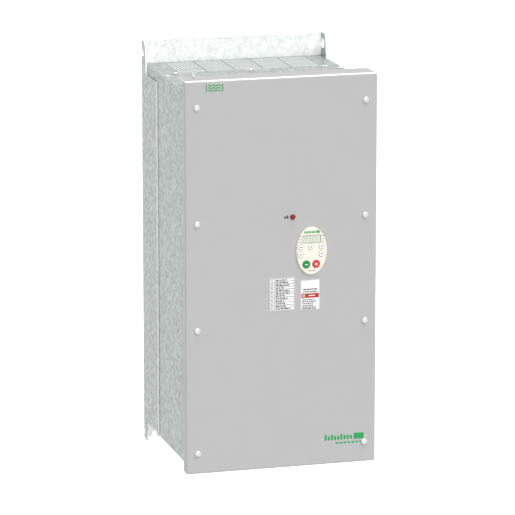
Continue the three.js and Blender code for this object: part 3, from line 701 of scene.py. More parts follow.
for number, screw in enumerate(cover_screws, 1):
    head = (screw.x1 - screw.x0) / 2
    rise = 3.6
    shape = turned(screw_profile(head, rise, 2.5, 13.4), 36)
    place = on("front", screw.x, screw.y0 + rise, screw.z, turn=dice.uniform(0, 60))
    make(f"cover_dome_screw_{number}", Form().add(shape, "bright_zinc", place), "cover",
         [f"cover_screw_{number}"], 42)

for number, screw in enumerate(top_screws, 1):
    head = (screw.x1 - screw.x0) / 2
    rise = 2.4
    shape = turned(screw_profile(head, rise, 2, 7.4), 30)
    place = on("top", screw.x, screw.y, screw.z1 - rise, turn=dice.uniform(0, 60))
    make(f"top_dome_screw_{number}", Form().add(shape, "bright_zinc", place), "enclosure",
         [f"top_screw_{number}"], 42)

# ---------------------------------------------------------------- cover

cover = Box("front_cover")
lamp = Box("charge_lamp")
bezel = Box("keypad_bezel")
stud = Box("bonding_stud")
FACE = cover.y0
COVER_SHEET = 1.5
RIM_DEPTH = 16.0


def cover_tray():
    """The painted front: a flat face, a rounded bend all round and a rim behind it, which reaches
    further back along the top edge as a hood."""
    outer, steps, roll = 2.7, 6, 1.1
    inner = outer - COVER_SHEET
    depth = RIM_DEPTH
    turns = [math.pi / 2 * k / steps for k in range(steps + 1)]
    rim = [(outer * (1 - math.sin(a)), -outer * (1 - math.cos(a))) for a in turns]
    rim += [(0, 0.3 - depth), (0.3, -depth), (COVER_SHEET - 0.3, -depth), (COVER_SHEET, 0.3 - depth)]
    rim += [(outer - inner * math.cos(a), -outer + inner * math.sin(a)) for a in turns]
    holes = [circle(screw.x, screw.z, 3, 24) for screw in cover_screws]
    holes.append(circle(lamp.x, lamp.z, 3.9, 24))
    holes.append(circle(bezel.x, bezel.z, 23.2, 56, 34.9))
    outline = rounded(cover.x0, cover.x1, cover.z0, cover.z1, 3.4, 6)
    points, faces = plate(outline, rim, holes, eased(0, -COVER_SHEET, 0.2))
    hood = cover.y1 - cover.y0 - depth
    for ring in range(len(rim)):
        for i, (_, v) in enumerate(outline):
            if v > cover.z1 - roll and rim[ring][1] <= 0.3 - depth:
                number = ring * len(outline) + i
                a, b, c = points[number]
                points[number] = (a, b, c - hood)
    return points, faces


form = Form().add(cover_tray(), "cover_paint", on("front", y=FACE))
# The cover's upward faces take the darker paint as painted shade.
form.show("hood_paint_painted_shade", lambda way: way.z > 0.95)
# The rounded top bend of the cover takes the near-white paint as a painted highlight.
form.show("edge_paint_painted_highlight", lambda way: way.z > 0.5 and way.y < -0.05)


def band(path, width):
    """An outline of even width along a line of points."""
    left, right = [], []
    for k, point in enumerate(path):
        before, after = path[max(k - 1, 0)], path[min(k + 1, len(path) - 1)]
        along = Vector((after[0] - before[0], after[1] - before[1])).normalized()
        left.append((point[0] - along.y * width / 2, point[1] + along.x * width / 2))
        right.append((point[0] + along.y * width / 2, point[1] - along.x * width / 2))
    return right + left[::-1]


def printed(outline, height=0.05):
    """A thin raised layer of ink, sunk a little into what it is printed on."""
    return plate(outline, [(0, height), (0, -0.05)])


def air_mark():
    """Three stacked waves between two bars, as a plain sign for moving air."""
    form = Form()
    u0, v0, width, height = cover.x0 + 33.5, cover.z1 - 18, 27.8, 12
    for u in (u0, u0 + width - 1.8):
        form.add(printed(rounded(u, u + 1.8, v0, v0 + height, 0.8, 3)), "print_green", on("front", y=FACE))
    for row in range(3):
        wave = [(u0 + 3.6 + 0.86 * k, v0 + 2 + 4 * row + 0.9 * math.sin(k * 0.75)) for k in range(25)]
        form.add(printed(band(wave, 1.7)), "print_green", on("front", y=FACE))
    return form


def corner_mark():
    """A row of plain green blocks of different heights with a thin line under it."""
    form = Form()
    x0, z0 = cover.x1 - 83.8, cover.z0 + 38.6
    heights = [9.5, 7.0, 9.5, 7.0, 7.0, 9.5, 7.0, 7.0, 7.0]
    for k, height in enumerate(heights):
        u = x0 + k * 5.2
        form.add(printed(rounded(u, u + 3.6, z0, z0 + height, 1.2, 3)), "print_green",
                 on("front", y=FACE))
    block_u = x0 + len(heights) * 5.2 + 1
    form.add(printed(rounded(block_u, block_u + 17, z0 - 0.5, z0 + 9.5, 1.5, 4)), "print_green",
             on("front", y=FACE))
    for k in range(7):
        u = x0 + 18 + k * 6.6
        form.add(printed(rectangle(u, u + 4.6, z0 - 6.6, z0 - 3.8)), "print_green",
                 on("front", y=FACE))
    return form


def lamp_mark():
    """A dot and a bar beside the lamp."""
    form = Form()
    u, v = lamp.x - 10.6, lamp.z + 0.2
    form.add(printed(circle(u - 1.6, v - 0.4, 1.9, 20)), "print_dark", on("front", y=FACE))
    form.add(printed(rounded(u + 1, u + 3.4, v - 2.6, v + 2.6, 0.6, 3)), "print_dark",
             on("front", y=FACE))
    return form


def slotted_stud():
    """A threaded stud with a saw slot across its end and a nut at its foot, through the hood."""
    form = Form()
    radius, height = (stud.x1 - stud.x0) / 2, 6.5
    base = stud.z1 - height
    place = on("top", stud.x, stud.y, base)
    under = -COVER_SHEET - 0.1
    thread = [(0, -6), *((1.7 + 0.3 * (k % 2), -6 + 0.5 * k) for k in range(9)), (2, under), (0, under)]
    form.add(turned(thread, 24), "bright_zinc", place)
    foot = [(0, 0), (radius, 0), (radius, 2.3), (radius - 0.25, 2.5), (0, 2.5)]
    form.add(turned(foot, 24), "bright_zinc", place)
    half = [(radius * 0.93 * math.cos(a), radius * 0.93 * math.sin(a))
            for a in [math.radians(-76 + 152 * k / 12) for k in range(13)]]
    for turn in (0, 180):
        form.add(plate(half, eased(height, 2.2, 0.25)), "bright_zinc",
                 on("top", stud.x, stud.y, base, turn))
    return form


make("front_cover_tray", form, "cover", ["front_cover"], 25)
make("bonding_stud_turned", slotted_stud(), "cover", ["bonding_stud"])
make("air_mark", air_mark(), "cover")
make("corner_mark", corner_mark(), "cover")
make("lamp_mark", lamp_mark(), "cover")

seal = Box("cover_gasket")
inner_seal = rounded(seal.x0 + 10, seal.x1 - 10, seal.z0 + 10, seal.z1 - 10, 5, 6)
strip = plate(rounded(seal.x0, seal.x1, seal.z0, seal.z1, 8, 6),
              eased(0, seal.y0 - seal.y1, 0.9, 4), [inner_seal])
make("gasket_strip", Form().add(strip, "gasket_foam", on("front", y=seal.y0)), "cover",
     ["cover_gasket"], 50)

# ---------------------------------------------------------------- lamp and labels

form = Form()
dome, rise = (lamp.x1 - lamp.x0) / 2 - 1.2, 3.8
lens = turned([(0, -0.4), (dome - 0.6, -0.4), (dome - 0.6, 0.5)] + [
    ((dome - 0.6) * math.cos(a), 0.5 + (rise - 0.5) * math.sin(a))
    for a in [math.pi / 2 * k / 8 for k in range(1, 8)]] + [(0, rise)], 36)
form.add(lens, "lamp_red", on("front", lamp.x, lamp.y0 + rise, lamp.z))
ring = turned([(dome - 0.7, -0.3), (dome, -0.3), (dome, 0.5), (dome - 0.25, 0.85), (dome - 0.7, 0.7)],
              36, closed=True)
form.add(ring, "lamp_red", on("front", lamp.x, lamp.y0 + rise, lamp.z))
barrel = turned([(0, -14), (3.2, -14), (3.4, -13.7), (3.4, -0.3), (0, -0.3)], 24)
form.add(barrel, "black_plastic", on("front", lamp.x, lamp.y0 + rise, lamp.z))
nut = turned([(3.3, -5.1), (5.3, -5.1, 0.05), (5.3, -2.1, 0.05), (3.3, -2.1)], 24, closed=True)
form.add(nut, "black_plastic", on("front", lamp.x, lamp.y0 + rise, lamp.z))
for x in (-1.2, 1.2):
    form.add(block((x - 0.4, x + 0.4), (-1.4, 1.4), (-17, -13.8), 0.12, 1), "tin",
             on("front", lamp.x, lamp.y0 + rise, lamp.z))
make("charge_lamp_lens", form, "cover", ["charge_lamp"])


def paper(box, border):
    """A thin printed label stuck on the cover, with a fine grey border."""
    form = Form()
    place = on("front", y=box.y0)
    base = plate(rounded(box.x0, box.x1, box.z0, box.z1, 1.2),
                 [(0.05, 0), (0, -0.05), (0, box.y0 - FACE + 0.02)])
    form.add(base, "label_foil", place)
    outer = rounded(box.x0 + 0.4, box.x1 - 0.4, box.z0 + 0.4, box.z1 - 0.4, 1)
    form.add(plate(outer, [(0, 0.04), (0, -0.05)], [offset(outer, border)]), "print_grey", place)
    return form, place


def parameter_label():
    """A ruled table of twelve rows with short grey dashes for its words."""
    box = Box("parameter_label")
    form, place = paper(box, 0.7)
    rows = 12
    pitch = (box.z1 - box.z0 - 2) / rows
    divider = box.x0 + 8.7
    for row in range(rows + 1):
        z = box.z0 + 1 + row * pitch
        if 0 < row < rows:
            rule = rectangle(box.x0 + 1, box.x1 - 1, z - 0.34, z + 0.34)
            form.add(printed(rule, 0.04), "print_dark", place)
        if row == rows:
            break
        middle = z + pitch / 2
        form.add(printed(rectangle(box.x0 + 2.6, box.x0 + 6.2, middle - 0.6, middle + 0.6), 0.04),
                 "print_grey", place)
        u, end = divider + 1.8, divider + dice.uniform(12, 27)
        while u < end:
            width = dice.uniform(2.2, 6.5)
            stop = min(u + width, end + 1)
            form.add(printed(rectangle(u, stop, middle - 0.9, middle + 0.9), 0.04), "print_dark", place)
            u = stop + 1.0
    form.add(printed(rectangle(divider - 0.3, divider + 0.3, box.z0 + 1, box.z1 - 1), 0.04),
             "print_grey", place)
    return form


def rating_label():
    """A rating plate: a blank head, lines of dashes and one red band with a plain square."""
    box = Box("rating_label")
    form, place = paper(box, 0.3)

    def line(z, height, start, stop, surface, low=2.0, high=5.0):
        u = start
        while u < stop - 1:
            end = min(u + dice.uniform(low, high), stop)
            form.add(printed(rectangle(u, end, z - height / 2, z + height / 2), 0.04), surface, place)
            u = end + 0.8

    for z in (-27.2, -31.0):
        line(z, 2.0, box.x0 + 4, box.x1 - 4, "print_dark")
    form.add(printed(rectangle(box.x0 + 1.2, box.x1 - 1.2, -41, -33.6), 0.04), "print_red", place)
    form.add(printed(rectangle(box.x0 + 1.8, box.x0 + 8.2, -40.4, -34.2), 0.07), "print_ochre", place)
    form.add(printed(circle(box.x0 + 5, -37.3, 1.2, 20), 0.09), "print_white", place)
    form.add(printed(rounded(box.x0 + 13, box.x0 + 23, -37.9, -36.5, 0.5, 2), 0.07), "print_white", place)
    for z in (-43.8, -46.8, -49.8, -52.8, -55.8, -58.2):
        line(z, 1.7, box.x0 + 2.5, box.x0 + 12 + dice.uniform(8, 16), "print_dark", 1.5, 4)
    return form


make("parameter_label_print", parameter_label(), "cover", ["parameter_label"])
make("rating_label_print", rating_label(), "cover", ["rating_label"])

# ---------------------------------------------------------------- keypad

display = Box("display_window")
KEYS = ["key_up", "key_down", "key_mode", "key_local", "key_hand", "key_run", "key_stop"]
keys = {name: Box(name) for name in KEYS}


def keypad_front():
    """A flat oval with a soft edge, with holes for its keys and its display."""
    thick = FACE - bezel.y0
    outline = circle(bezel.x, bezel.z, (bezel.x1 - bezel.x0) / 2, 72, (bezel.z1 - bezel.z0) / 2)
    rim = [(1.0, 0), (0.62, -0.08), (0.3, -0.35), (0.1, -0.8), (0, -1.5), (0, 0.15 - thick),
           (0.15, 0.02 - thick)]
    holes = [circle(key.x, key.z, (key.x1 - key.x0) / 2 + 0.3, 28) for key in keys.values()]
    holes.append(rounded(display.x0 - 0.3, display.x1 + 0.3, display.z0 - 0.3, display.z1 + 0.3, 1.2))
    form = Form().add(plate(outline, rim, holes, [(0.25, 0), (0.07, -0.07), (0, -0.25), (0, 0.02 - thick)]),
                      "ivory", on("front", y=bezel.y0))
    place = on("front", y=bezel.y0)
    x, z = bezel.x, bezel.z
    for k in range(8):
        u = x - 12.2 + k * 2.4
        form.add(printed(rounded(u, u + 1.7, z + 28.0, z + 32.0, 0.4, 2), 0.04), "print_green", place)
    form.add(printed(rounded(x + 7.4, x + 12.8, z + 28.0, z + 32.2, 0.5, 2), 0.04), "print_green", place)
    form.add(printed(rounded(x - 6.2, x + 6.2, z - 32.2, z - 31.2, 0.4, 2), 0.04), "print_ochre", place)
    for sign in (-1, 1):
        for dz in (-4.6, 0, 4.6):
            u, v = display.x + sign * 18.6, display.z + dz
            form.add(printed(rectangle(u - 1.5, u + 1.5, v - 0.4, v + 0.4), 0.04), "print_dark", place)
    for name in ("key_up", "key_down", "key_mode", "key_local", "key_hand"):
        u, v, radius = keys[name].x, keys[name].z, (keys[name].x1 - keys[name].x0) / 2
        form.add(plate(circle(u, v, radius + 0.75, 36), [(0, 0.04), (0, -0.05)],
                       [circle(u, v, radius + 0.5, 36)]), "print_grey", place)
    ring = rounded(display.x0 - 0.7, display.x1 + 0.7, display.z0 - 0.7, display.z1 + 0.7, 1.6)
    form.add(plate(ring, [(0, 0.04), (0, -0.05)], [offset(ring, 0.45)]), "print_dark", place)
    form.add(printed([(display.x - 1.2, display.z0 - 2.2), (display.x + 1.2, display.z0 - 2.2),
                      (display.x, display.z0 - 0.9)], 0.04), "print_grey", place)
    return form


make("keypad_front", keypad_front(), "cover", ["keypad_bezel"])

form = Form()
place = on("front", y=display.y0)
base = rounded(display.x0, display.x1, display.z0, display.z1, 1)
form.add(plate(base, [(0.15, 0), (0, -0.15), (0, display.y0 - display.y1)]), "display_field", place)
field = rounded(display.x0 + 1.1, display.x1 - 1.1, display.z0 + 1.1, display.z1 - 1.1, 0.6)
form.add(plate(base, [(0.5, 0.03), (0.5, -0.05)], [field], [(0, 0.03), (0, -0.05)]), "key_white", place)
make("display_panel", form, "cover", ["display_window"])


def key_cap(name, key):
    """A round key with a dished top and a plain symbol on it."""
    radius = (key.x1 - key.x0) / 2
    surface = {"key_run": "key_green", "key_stop": "key_red"}.get(name, "key_white")
    height = FACE - key.y0
    form = Form()
    cap = turned([(0, 0), (radius, 0), (radius, height - 0.95), (radius - 0.12, height - 0.55),
                  (radius - 0.45, height - 0.15), (radius - 0.9, height), (radius - 1.4, height - 0.05),
                  (radius * 0.4, height - 0.22), (0, height - 0.25)], 40)
    form.add(cap, surface, on("front", key.x, FACE, key.z))
    place = on("front", key.x, key.y0 + 0.26, key.z)
    u = radius * 0.42
    if name == "key_up":
        marks = [([(-u, -u * 0.6), (u, -u * 0.6), (0, u * 0.9)], "print_dark")]
    elif name == "key_down":
        marks = [([(-u, u * 0.6), (0, -u * 0.9), (u, u * 0.6)], "print_dark")]
    elif name == "key_mode":
        marks = [(rounded(-2, 2, v - 0.6, v + 0.6, 0.3, 2), "print_dark") for v in (-1.9, 0)]
    elif name in ("key_local", "key_hand"):
        marks = [(rounded(-2, 2, -0.7, 0.7, 0.3, 2), "print_dark")]
    elif name == "key_run":
        marks = [(rounded(-u, u, -0.55, 0.55, 0.3, 2), "print_white")]
    else:
        marks = [(rounded(-u, u, v - 0.45, v + 0.45, 0.3, 2), "print_white") for v in (-1.1, 1.1)]
    for outline, ink in marks:
        form.add(printed(outline, 0.05), ink, place)
    return form


for name, key in keys.items():
    make(f"{name}_cap", key_cap(name, key), name, [name])

# ---------------------------------------------------------------- cooling


def spread(count, pitch):
    """Evenly spaced places about zero."""
    return [(k - (count - 1) / 2) * pitch for k in range(count)]


def at(place, u, v, w=0.0, turn=0.0):
    """A place moved along its own axes, then turned by some degrees about its own w axis."""
    return place @ Matrix.Translation((u, v, w)) @ Matrix.Rotation(math.radians(turn), 4, "Z")


def screw_head(radius, rise, depth=3.0):
    """A small round head on a plain shank, with a cross recess."""
    return turned([
        (0, -depth), (radius * 0.5, -depth), (radius * 0.5, 0), (radius, 0.1), (radius, rise * 0.5),
        (radius * 0.82, rise * 0.9), (radius * 0.5, rise), (radius * 0.36, rise * 0.6, 0.2),
        (0, rise * 0.55),
    ], 20, 4)


SINK_BASE = 12.0


def finned_sink():
    """A thick base with tapered, round-tipped fins behind it and a screw at each corner."""
    form = Form()
    place = on("front", y=sink.y0)
    corners = [(u, v) for u in (sink.x0 + 7, sink.x1 - 7) for v in (sink.z0 + 6, sink.z1 - 6)]
    base = plate(rounded(sink.x0, sink.x1, sink.z0, sink.z1, 2), eased(0, -SINK_BASE, 0.4),
                 [circle(u, v, 2.2, 16) for u, v in corners])
    form.add(base, "aluminium", place)
    for u, v in corners:
        form.add(screw_head(3.8, 2.4), "bright_zinc", at(place, u, v))
    root, tip = sink.y0 + SINK_BASE - 1, sink.y1
    for x in spread(25, 9.2):
        fin = [(x - 1.3, root), (x + 1.3, root), (x + 0.9, tip - 0.8), (x + 0.5, tip - 0.15), (x, tip),
               (x - 0.5, tip - 0.15), (x - 0.9, tip - 0.8)]
        form.add(plate(fin, eased(fin_top, fin_bottom, 0.15, 1)), "aluminium")
    return form


make("finned_heat_sink", finned_sink(), "enclosure", ["heat_sink"])

tray = Box("fan_tray")
fans = [Box("fan_frame_1"), Box("fan_frame_2")]
BORE = 43.5


def arc_slot(x, y, inner, outer, half_gap, quarter, count=8):
    """A curved slot in one quarter of a ring, clear of the two bars that cross it."""
    loop = []
    for radius, order in ((outer, 1), (inner, -1)):
        start = math.asin(half_gap / radius)
        sweep = [start + (math.pi / 2 - 2 * start) * k / count for k in range(count + 1)][::order]
        loop += [(x + radius * math.cos(a + quarter * math.pi / 2),
                  y + radius * math.sin(a + quarter * math.pi / 2)) for a in sweep]
    return loop


holes = [arc_slot(fan.x, fan.y, inner, outer, 2, quarter) for fan in fans
         for inner, outer in ((15, 23), (25.5, 33), (35.5, BORE)) for quarter in range(4)]
sheet = plate(rounded(tray.x0, tray.x1, tray.y0, tray.y1, 2), eased(0, -SHEET, 0.3), holes,
              eased(0, -SHEET, 0.2, 1))
make("fan_tray_guard", Form().add(sheet, "zinc_sheet", on("top", z=tray.z1)), "enclosure",
     ["fan_tray"])


def fan_housing(fan):
    """A square fan frame: two flanges, a barrel between them, and struts that carry the motor."""
    form = Form()
    half, height, flange = (fan.x1 - fan.x0) / 2, fan.z1 - fan.z0, 3.2
    place = on("top", fan.x, fan.y, fan.z0)
    corners = [(u, v) for u in (-38, 38) for v in (-38, 38)]
    holes = [circle(0, 0, BORE, 56)] + [circle(u, v, 2.2, 14) for u, v in corners]
    square = plate(rounded(-half, half, -half, half, 5, 5), eased(0, -flange, 0.4), holes,
                   eased(0, -flange, 0.3, 1))
    for level in (flange, height):
        form.add(square, "black_plastic", at(place, 0, 0, level))
    barrel = [(BORE + 0.1, 3), (BORE + 1.9, 3), (BORE + 1.9, height - 3), (BORE + 0.1, height - 3)]
    form.add(turned(barrel, 56, closed=True), "black_plastic", place)
    for u, v in corners:
        post = turned([(2.3, 3), (4, 3), (4, height - 3), (2.3, height - 3)], 16, closed=True)
        form.add(post, "black_plastic", at(place, u, v))
        form.add(screw_head(3.6, 2.2), "bright_zinc", at(place, u, v, height))
    seat = turned([(0, 0.3), (14, 0.3), (14.4, 0), (16.4, 0), (17, 0.5), (17, 3.6), (16.6, 4), (0, 4)], 40)
    form.add(seat, "black_plastic", place)
    form.add(turned([(0, 0.05), (12.5, 0.05), (12.5, 0.4), (0, 0.4)], 40), "fan_label", place)
    for k in range(3):
        strut = block((16, BORE + 1), (-1.7, 1.7), (0, 4), 0.5)
        form.add(strut, "black_plastic", at(place, 0, 0, 0, 90 + 120 * k))
    return form


def blade(root, tip, chord, middle):
    """A twisted, cambered fan blade as a closed skin."""
    rows, columns = 7, 9
    points, faces = [], []
    for side in (1, -1):
        for i in range(rows):
            share = i / (rows - 1)
            radius, pitch = root + (tip - root) * share, math.radians(46 - 14 * share)
            for j in range(columns):
                s = 2 * j / (columns - 1) - 1
                along = s * chord / 2
                bulge = 1.5 * (1 - s * s) + side * (0.15 + 0.6 * (1 - s * s))
                a = (along * math.cos(pitch) - bulge * math.sin(pitch)) / radius + 0.25 * share
                points.append((radius * math.cos(a), radius * math.sin(a),
                               middle + along * math.sin(pitch) + bulge * math.cos(pitch)))
    skin = rows * columns
    for i in range(rows - 1):
        for j in range(columns - 1):
            a = i * columns + j
            quad = [a, a + columns, a + columns + 1, a + 1]
            faces += [quad, [skin + p for p in reversed(quad)]]
    edge = list(range(columns))
    edge += [i * columns + columns - 1 for i in range(1, rows)]
    edge += [skin - 1 - j for j in range(1, columns)]
    edge += [i * columns for i in range(rows - 2, 0, -1)]
    faces += [[p, q, skin + q, skin + p] for p, q in zip(edge, edge[1:] + edge[:1])]
    return points, faces


def fan_wheel(fan, rotor):
    """A domed hub with seven blades."""
    form = Form()
    place = on("top", fan.x, fan.y, rotor.z0)
    hub = [(0, 0), (17.6, 0), (18, 0.4), (18, 13.4), (17.6, 14.6), (16.6, 15.6), (15.2, 16), (13, 16),
           (12.6, 15.7), (0, 15.7)]
    form.add(turned(hub, 48), "black_plastic", place)
    form.add(turned([(0, 15.5), (11.6, 15.5), (11.6, 15.85), (0, 15.85)], 40), "fan_label", place)
    for k in range(7):
        form.add(blade(17, 41.6, 20, 8), "dark_plastic", at(place, 0, 0, 0, k * 360 / 7))
    return form


for number, fan in enumerate(fans, 1):
    make(f"fan_housing_{number}", fan_housing(fan), "enclosure", [f"fan_frame_{number}"])
    make(f"fan_wheel_{number}", fan_wheel(fan, Box(f"fan_rotor_{number}")), f"fan_rotor_{number}",
         [f"fan_rotor_{number}"], 40)

# ---------------------------------------------------------------- parts that sit on the boards
# Each adds itself to a form at (u, v) on a face, where w is the height above that face.


def bar(us, vs, ws):
    """A small sharp-edged block, for legs, pins and contacts."""
    return plate(rectangle(*us, *vs), [(0, ws[1]), (0, ws[0])])


def chip(form, place, u, v, width, length, legs, height=2.4):
    """A low black package with bright legs along two sides and a dimple at one corner."""
    here = at(place, u, v)
    form.add(block((-width / 2, width / 2), (-length / 2, length / 2), (0.3, height), 0.3, 1),
             "black_plastic", here)
    dimple = circle(-width / 2 + 1.4, length / 2 - 1.4, 0.6, 12)
    form.add(plate(dimple, [(0, height + 0.02), (0, height - 0.2)]), "dark_plastic", here)
    for leg in spread(legs, (length - 1.5) / legs):
        for sign in (-1, 1):
            span = sorted((sign * (width / 2 - 0.3), sign * (width / 2 + 1.3)))
            form.add(bar(span, (leg - 0.28, leg + 0.28), (0, 0.9)), "tin", here)


def small_can(form, place, u, v, radius, height, turn=0.0):
    """An upright electrolytic capacitor with a crimp, a bare top and a scored cross."""
    here = at(place, u, v, 0, turn)
    body = turned([(0, 0), (radius, 0), (radius, 1), (radius - 0.35, 1.5), (radius, 2),
                   (radius, height - 0.7), (radius - 0.6, height), (0, height)], 24)
    form.add(body, "sleeve", here)
    top = radius - 1
    form.add(turned([(0, height - 0.3), (top, height - 0.3), (top, height + 0.1), (0, height + 0.1)], 24),
             "aluminium", here)
    for turned_by in (0, 90):
        score = plate(rectangle(-top * 0.7, top * 0.7, -0.15, 0.15), [(0, height + 0.14), (0, height)])
        form.add(score, "shade_line", at(here, 0, 0, 0, turned_by))


def box_part(form, place, us, vs, height, surface, lid=True):
    """A moulded box such as a relay or a film capacitor, with a seam under its lid."""
    form.add(block(us, vs, (0.2, height * 0.82), 0.5), surface, place)
    inset = 0.35 if lid else 0.0
    form.add(block((us[0] + inset, us[1] - inset), (vs[0] + inset, vs[1] - inset),
                   (height * 0.7, height), 0.5), surface, place)


def header(form, place, u, v, count, pitch, surface, turn=0.0):
    """A shrouded plug socket with a row of pins."""
    here = at(place, u, v, 0, turn)
    half = count * pitch / 2 + 1.2
    shell = rounded(-half, half, -3.4, 3.4, 0.6, 2)
    form.add(plate(shell, eased(8, 0.1, 0.25, 1), [rectangle(-half + 0.9, half - 0.9, -2.5, 2.5)],
                   [(0, 8), (0, 0.1)]), surface, here)
    form.add(bar((-half + 0.8, half - 0.8), (-2.6, 2.6), (0.1, 1.4)), surface, here)
    for pin in spread(count, pitch):
        form.add(bar((pin - 0.3, pin + 0.3), (-0.3, 0.3), (0, 6.5)), "tin", here)


def resistor(form, place, u, v, length, radius, turn=0.0):
    """A ceramic rod on two bent leads."""
    here = at(place, u, v, 0, turn)
    lift = radius + 0.8
    form.add(tube([(-length / 2, 0, lift), (length / 2, 0, lift)], radius, 14), "beige_ceramic", here)
    for sign in (-1, 1):
        ends = [(sign * (length / 2 - 0.3), 0, lift), (sign * (length / 2 + 2), 0, lift),
                (sign * (length / 2 + 2.6), 0, lift - 0.6), (sign * (length / 2 + 2.6), 0, 0)]
        form.add(tube(ends, 0.4, 6), "tin", here)
        form.add(turned([(0, 0), (radius * 1.06, 0), (radius * 1.06, 1.6), (0, 1.6)], 14), "tin",
                 here @ Matrix.Translation((sign * (length / 2 - 0.8) - 0.8, 0, lift))
                 @ Matrix.Rotation(math.pi / 2, 4, "Y"))


def ring_coil(form, place, u, v, radius, thick, turns):
    """A ring core on a base, with separate turns of enamelled wire through it."""
    here = at(place, u, v)
    lift = thick + 2.5
    section = [(radius + thick * 0.8 * math.cos(a), lift + thick * math.sin(a))
               for a in [2 * math.pi * k / 12 for k in range(12)]]
    form.add(turned(section, 40, closed=True), "dark_plastic", here)
    form.add(block((-radius * 0.8, radius * 0.8), (-radius * 0.8, radius * 0.8), (0, 2.4), 0.4),
             "black_plastic", here)
    for k in range(turns):
        if k in (0, turns // 2):
            continue
        a = 2 * math.pi * k / turns
        wire = [(math.cos(a) * (radius + 1.22 * thick * 0.85 * math.cos(b)),
                 math.sin(a) * (radius + 1.22 * thick * 0.85 * math.cos(b)),
                 lift + 1.22 * thick * math.sin(b)) for b in [2 * math.pi * j / 12 for j in range(12)]]
        form.add(tube(wire, 0.85, 6, closed=True), "enamel_copper", here)


def board(box, thickness, inset, post):
    """A drilled circuit board on four posts, with a screw in each corner."""
    form = Form()
    place = on("front", y=box.y0)
    corners = [(u, v) for u in (box.x0 + inset, box.x1 - inset) for v in (box.z0 + inset, box.z1 - inset)]
    form.add(plate(rounded(box.x0, box.x1, box.z0, box.z1, 3), eased(0, -thickness, 0.2, 1),
                   [circle(u, v, 1.8, 14) for u, v in corners]), "solder_mask", place)
    back = box.y0 - box.y1
    for u, v in corners:
        form.add(turned([(0, back), (post, back), (post, -thickness), (0, -thickness)], 6), "brass",
                 at(place, u, v))
        form.add(screw_head(post * 0.95, 1.8), "bright_zinc", at(place, u, v))
        pad = circle(u, v, post + 0.9, 20)
        form.add(plate(pad, [(0, 0.04), (0, -0.05)], [circle(u, v, 1.8, 14)]), "tin", place)
    return form, place


def tracks(form, place, u, v, length, step, count, width=0.7, gap=1.6):
    """A bundle of parallel tracks that run across, step sideways and run on."""
    for k in range(count):
        low = v + k * gap
        path = [(u, low), (u + length * 0.45, low), (u + length * 0.45 + abs(step), low + step),
                (u + length, low + step)]
        form.add(printed(band(path, width), 0.03), "track", place)


# ---------------------------------------------------------------- electronics

module = Box("power_module")


def moulded_module():
    """A flat black power module: a ribbed body, two ears with screws and rows of pins in front."""
    form = Form()
    place = on("front", y=module.y0)
    depth = module.y1 - module.y0
    half, ear_depth, ear_half = 75, 6, 17.5
    form.add(block((-half, half), (module.z0, module.z1), (-depth, 0), 0.8), "black_plastic", place)
    for v in (module.z0 + 26, module.z1 - 26):
        form.add(block((-half + 6, half - 6), (v - 1.2, v + 1.2), (-1, 0.9), 0.3, 1), "black_plastic", place)
    centre = module.z
    ears = [(u, centre) for u in (module.x0 + 6, module.x1 - 6)]
    form.add(plate(rounded(module.x0, module.x1, centre - ear_half, centre + ear_half, 4),
                   eased(ear_depth - depth, -depth, 0.5), [circle(u, v, 2.6, 18) for u, v in ears]),
             "black_plastic", place)
    for u, v in ears:
        form.add(screw_head(4.6, 3), "bright_zinc", at(place, u, v, ear_depth - depth))
    for v in (module.z0 + 10, module.z1 - 10):
        for u in spread(10, 14):
            form.add(bar((u - 0.6, u + 0.6), (v - 0.4, v + 0.4), (-1, 3.6)), "tin", place)
    return form


make("moulded_power_module", moulded_module(), "enclosure", ["power_module"])


def power_circuit():
    """The power board: line capacitors, relays, chokes, drivers, resistors and their tracks."""
    box = Box("power_board")
    form, place = board(box, 2, 10, 4)
    for u in (-112, -40, 40):
        tracks(form, place, u, 128, 68, 6, 3, 3.2, 5)
        tracks(form, place, u, -20, 70, -8, 4, 2.4, 4)
    for u in (-84, -50, -16):
        box_part(form, place, (u - 15, u + 15), (-104, -82), 22, "blue_plastic")
    for u in (24, 50):
        box_part(form, place, (u - 11, u + 11), (-106, -80), 18, "fan_label")
    ring_coil(form, place, 92, -88, 15, 6, 22)
    for v in (-52, -8, 36, 80):
        for u in (-104, 104):
            small_can(form, place, u, v, 9, 30, v)
    for u in spread(6, 26):
        chip(form, place, u, -50, 7.5, 10, 8)
        chip(form, place, u, 96, 7.5, 10, 8)
    for u in spread(5, 30):
        resistor(form, place, u, -24, 14, 2.4)
        resistor(form, place, u, 76, 14, 2.4)
    for u in spread(3, 44):
        box_part(form, place, (u - 16, u + 16), (8, 34), 14, "beige_ceramic", False)
    header(form, place, -60, 120, 12, 2.54, "fan_label")
    header(form, place, 60, 120, 12, 2.54, "fan_label")
    for u in spread(4, 62):
        form.add(bar((u - 7, u + 7), (191, 197), (0, 5)), "tin", place)
        form.add(screw_head(3.4, 2.2), "bright_zinc", at(place, u, 194, 5))
    return form


make("power_circuit_board", power_circuit(), "enclosure", ["power_board"])


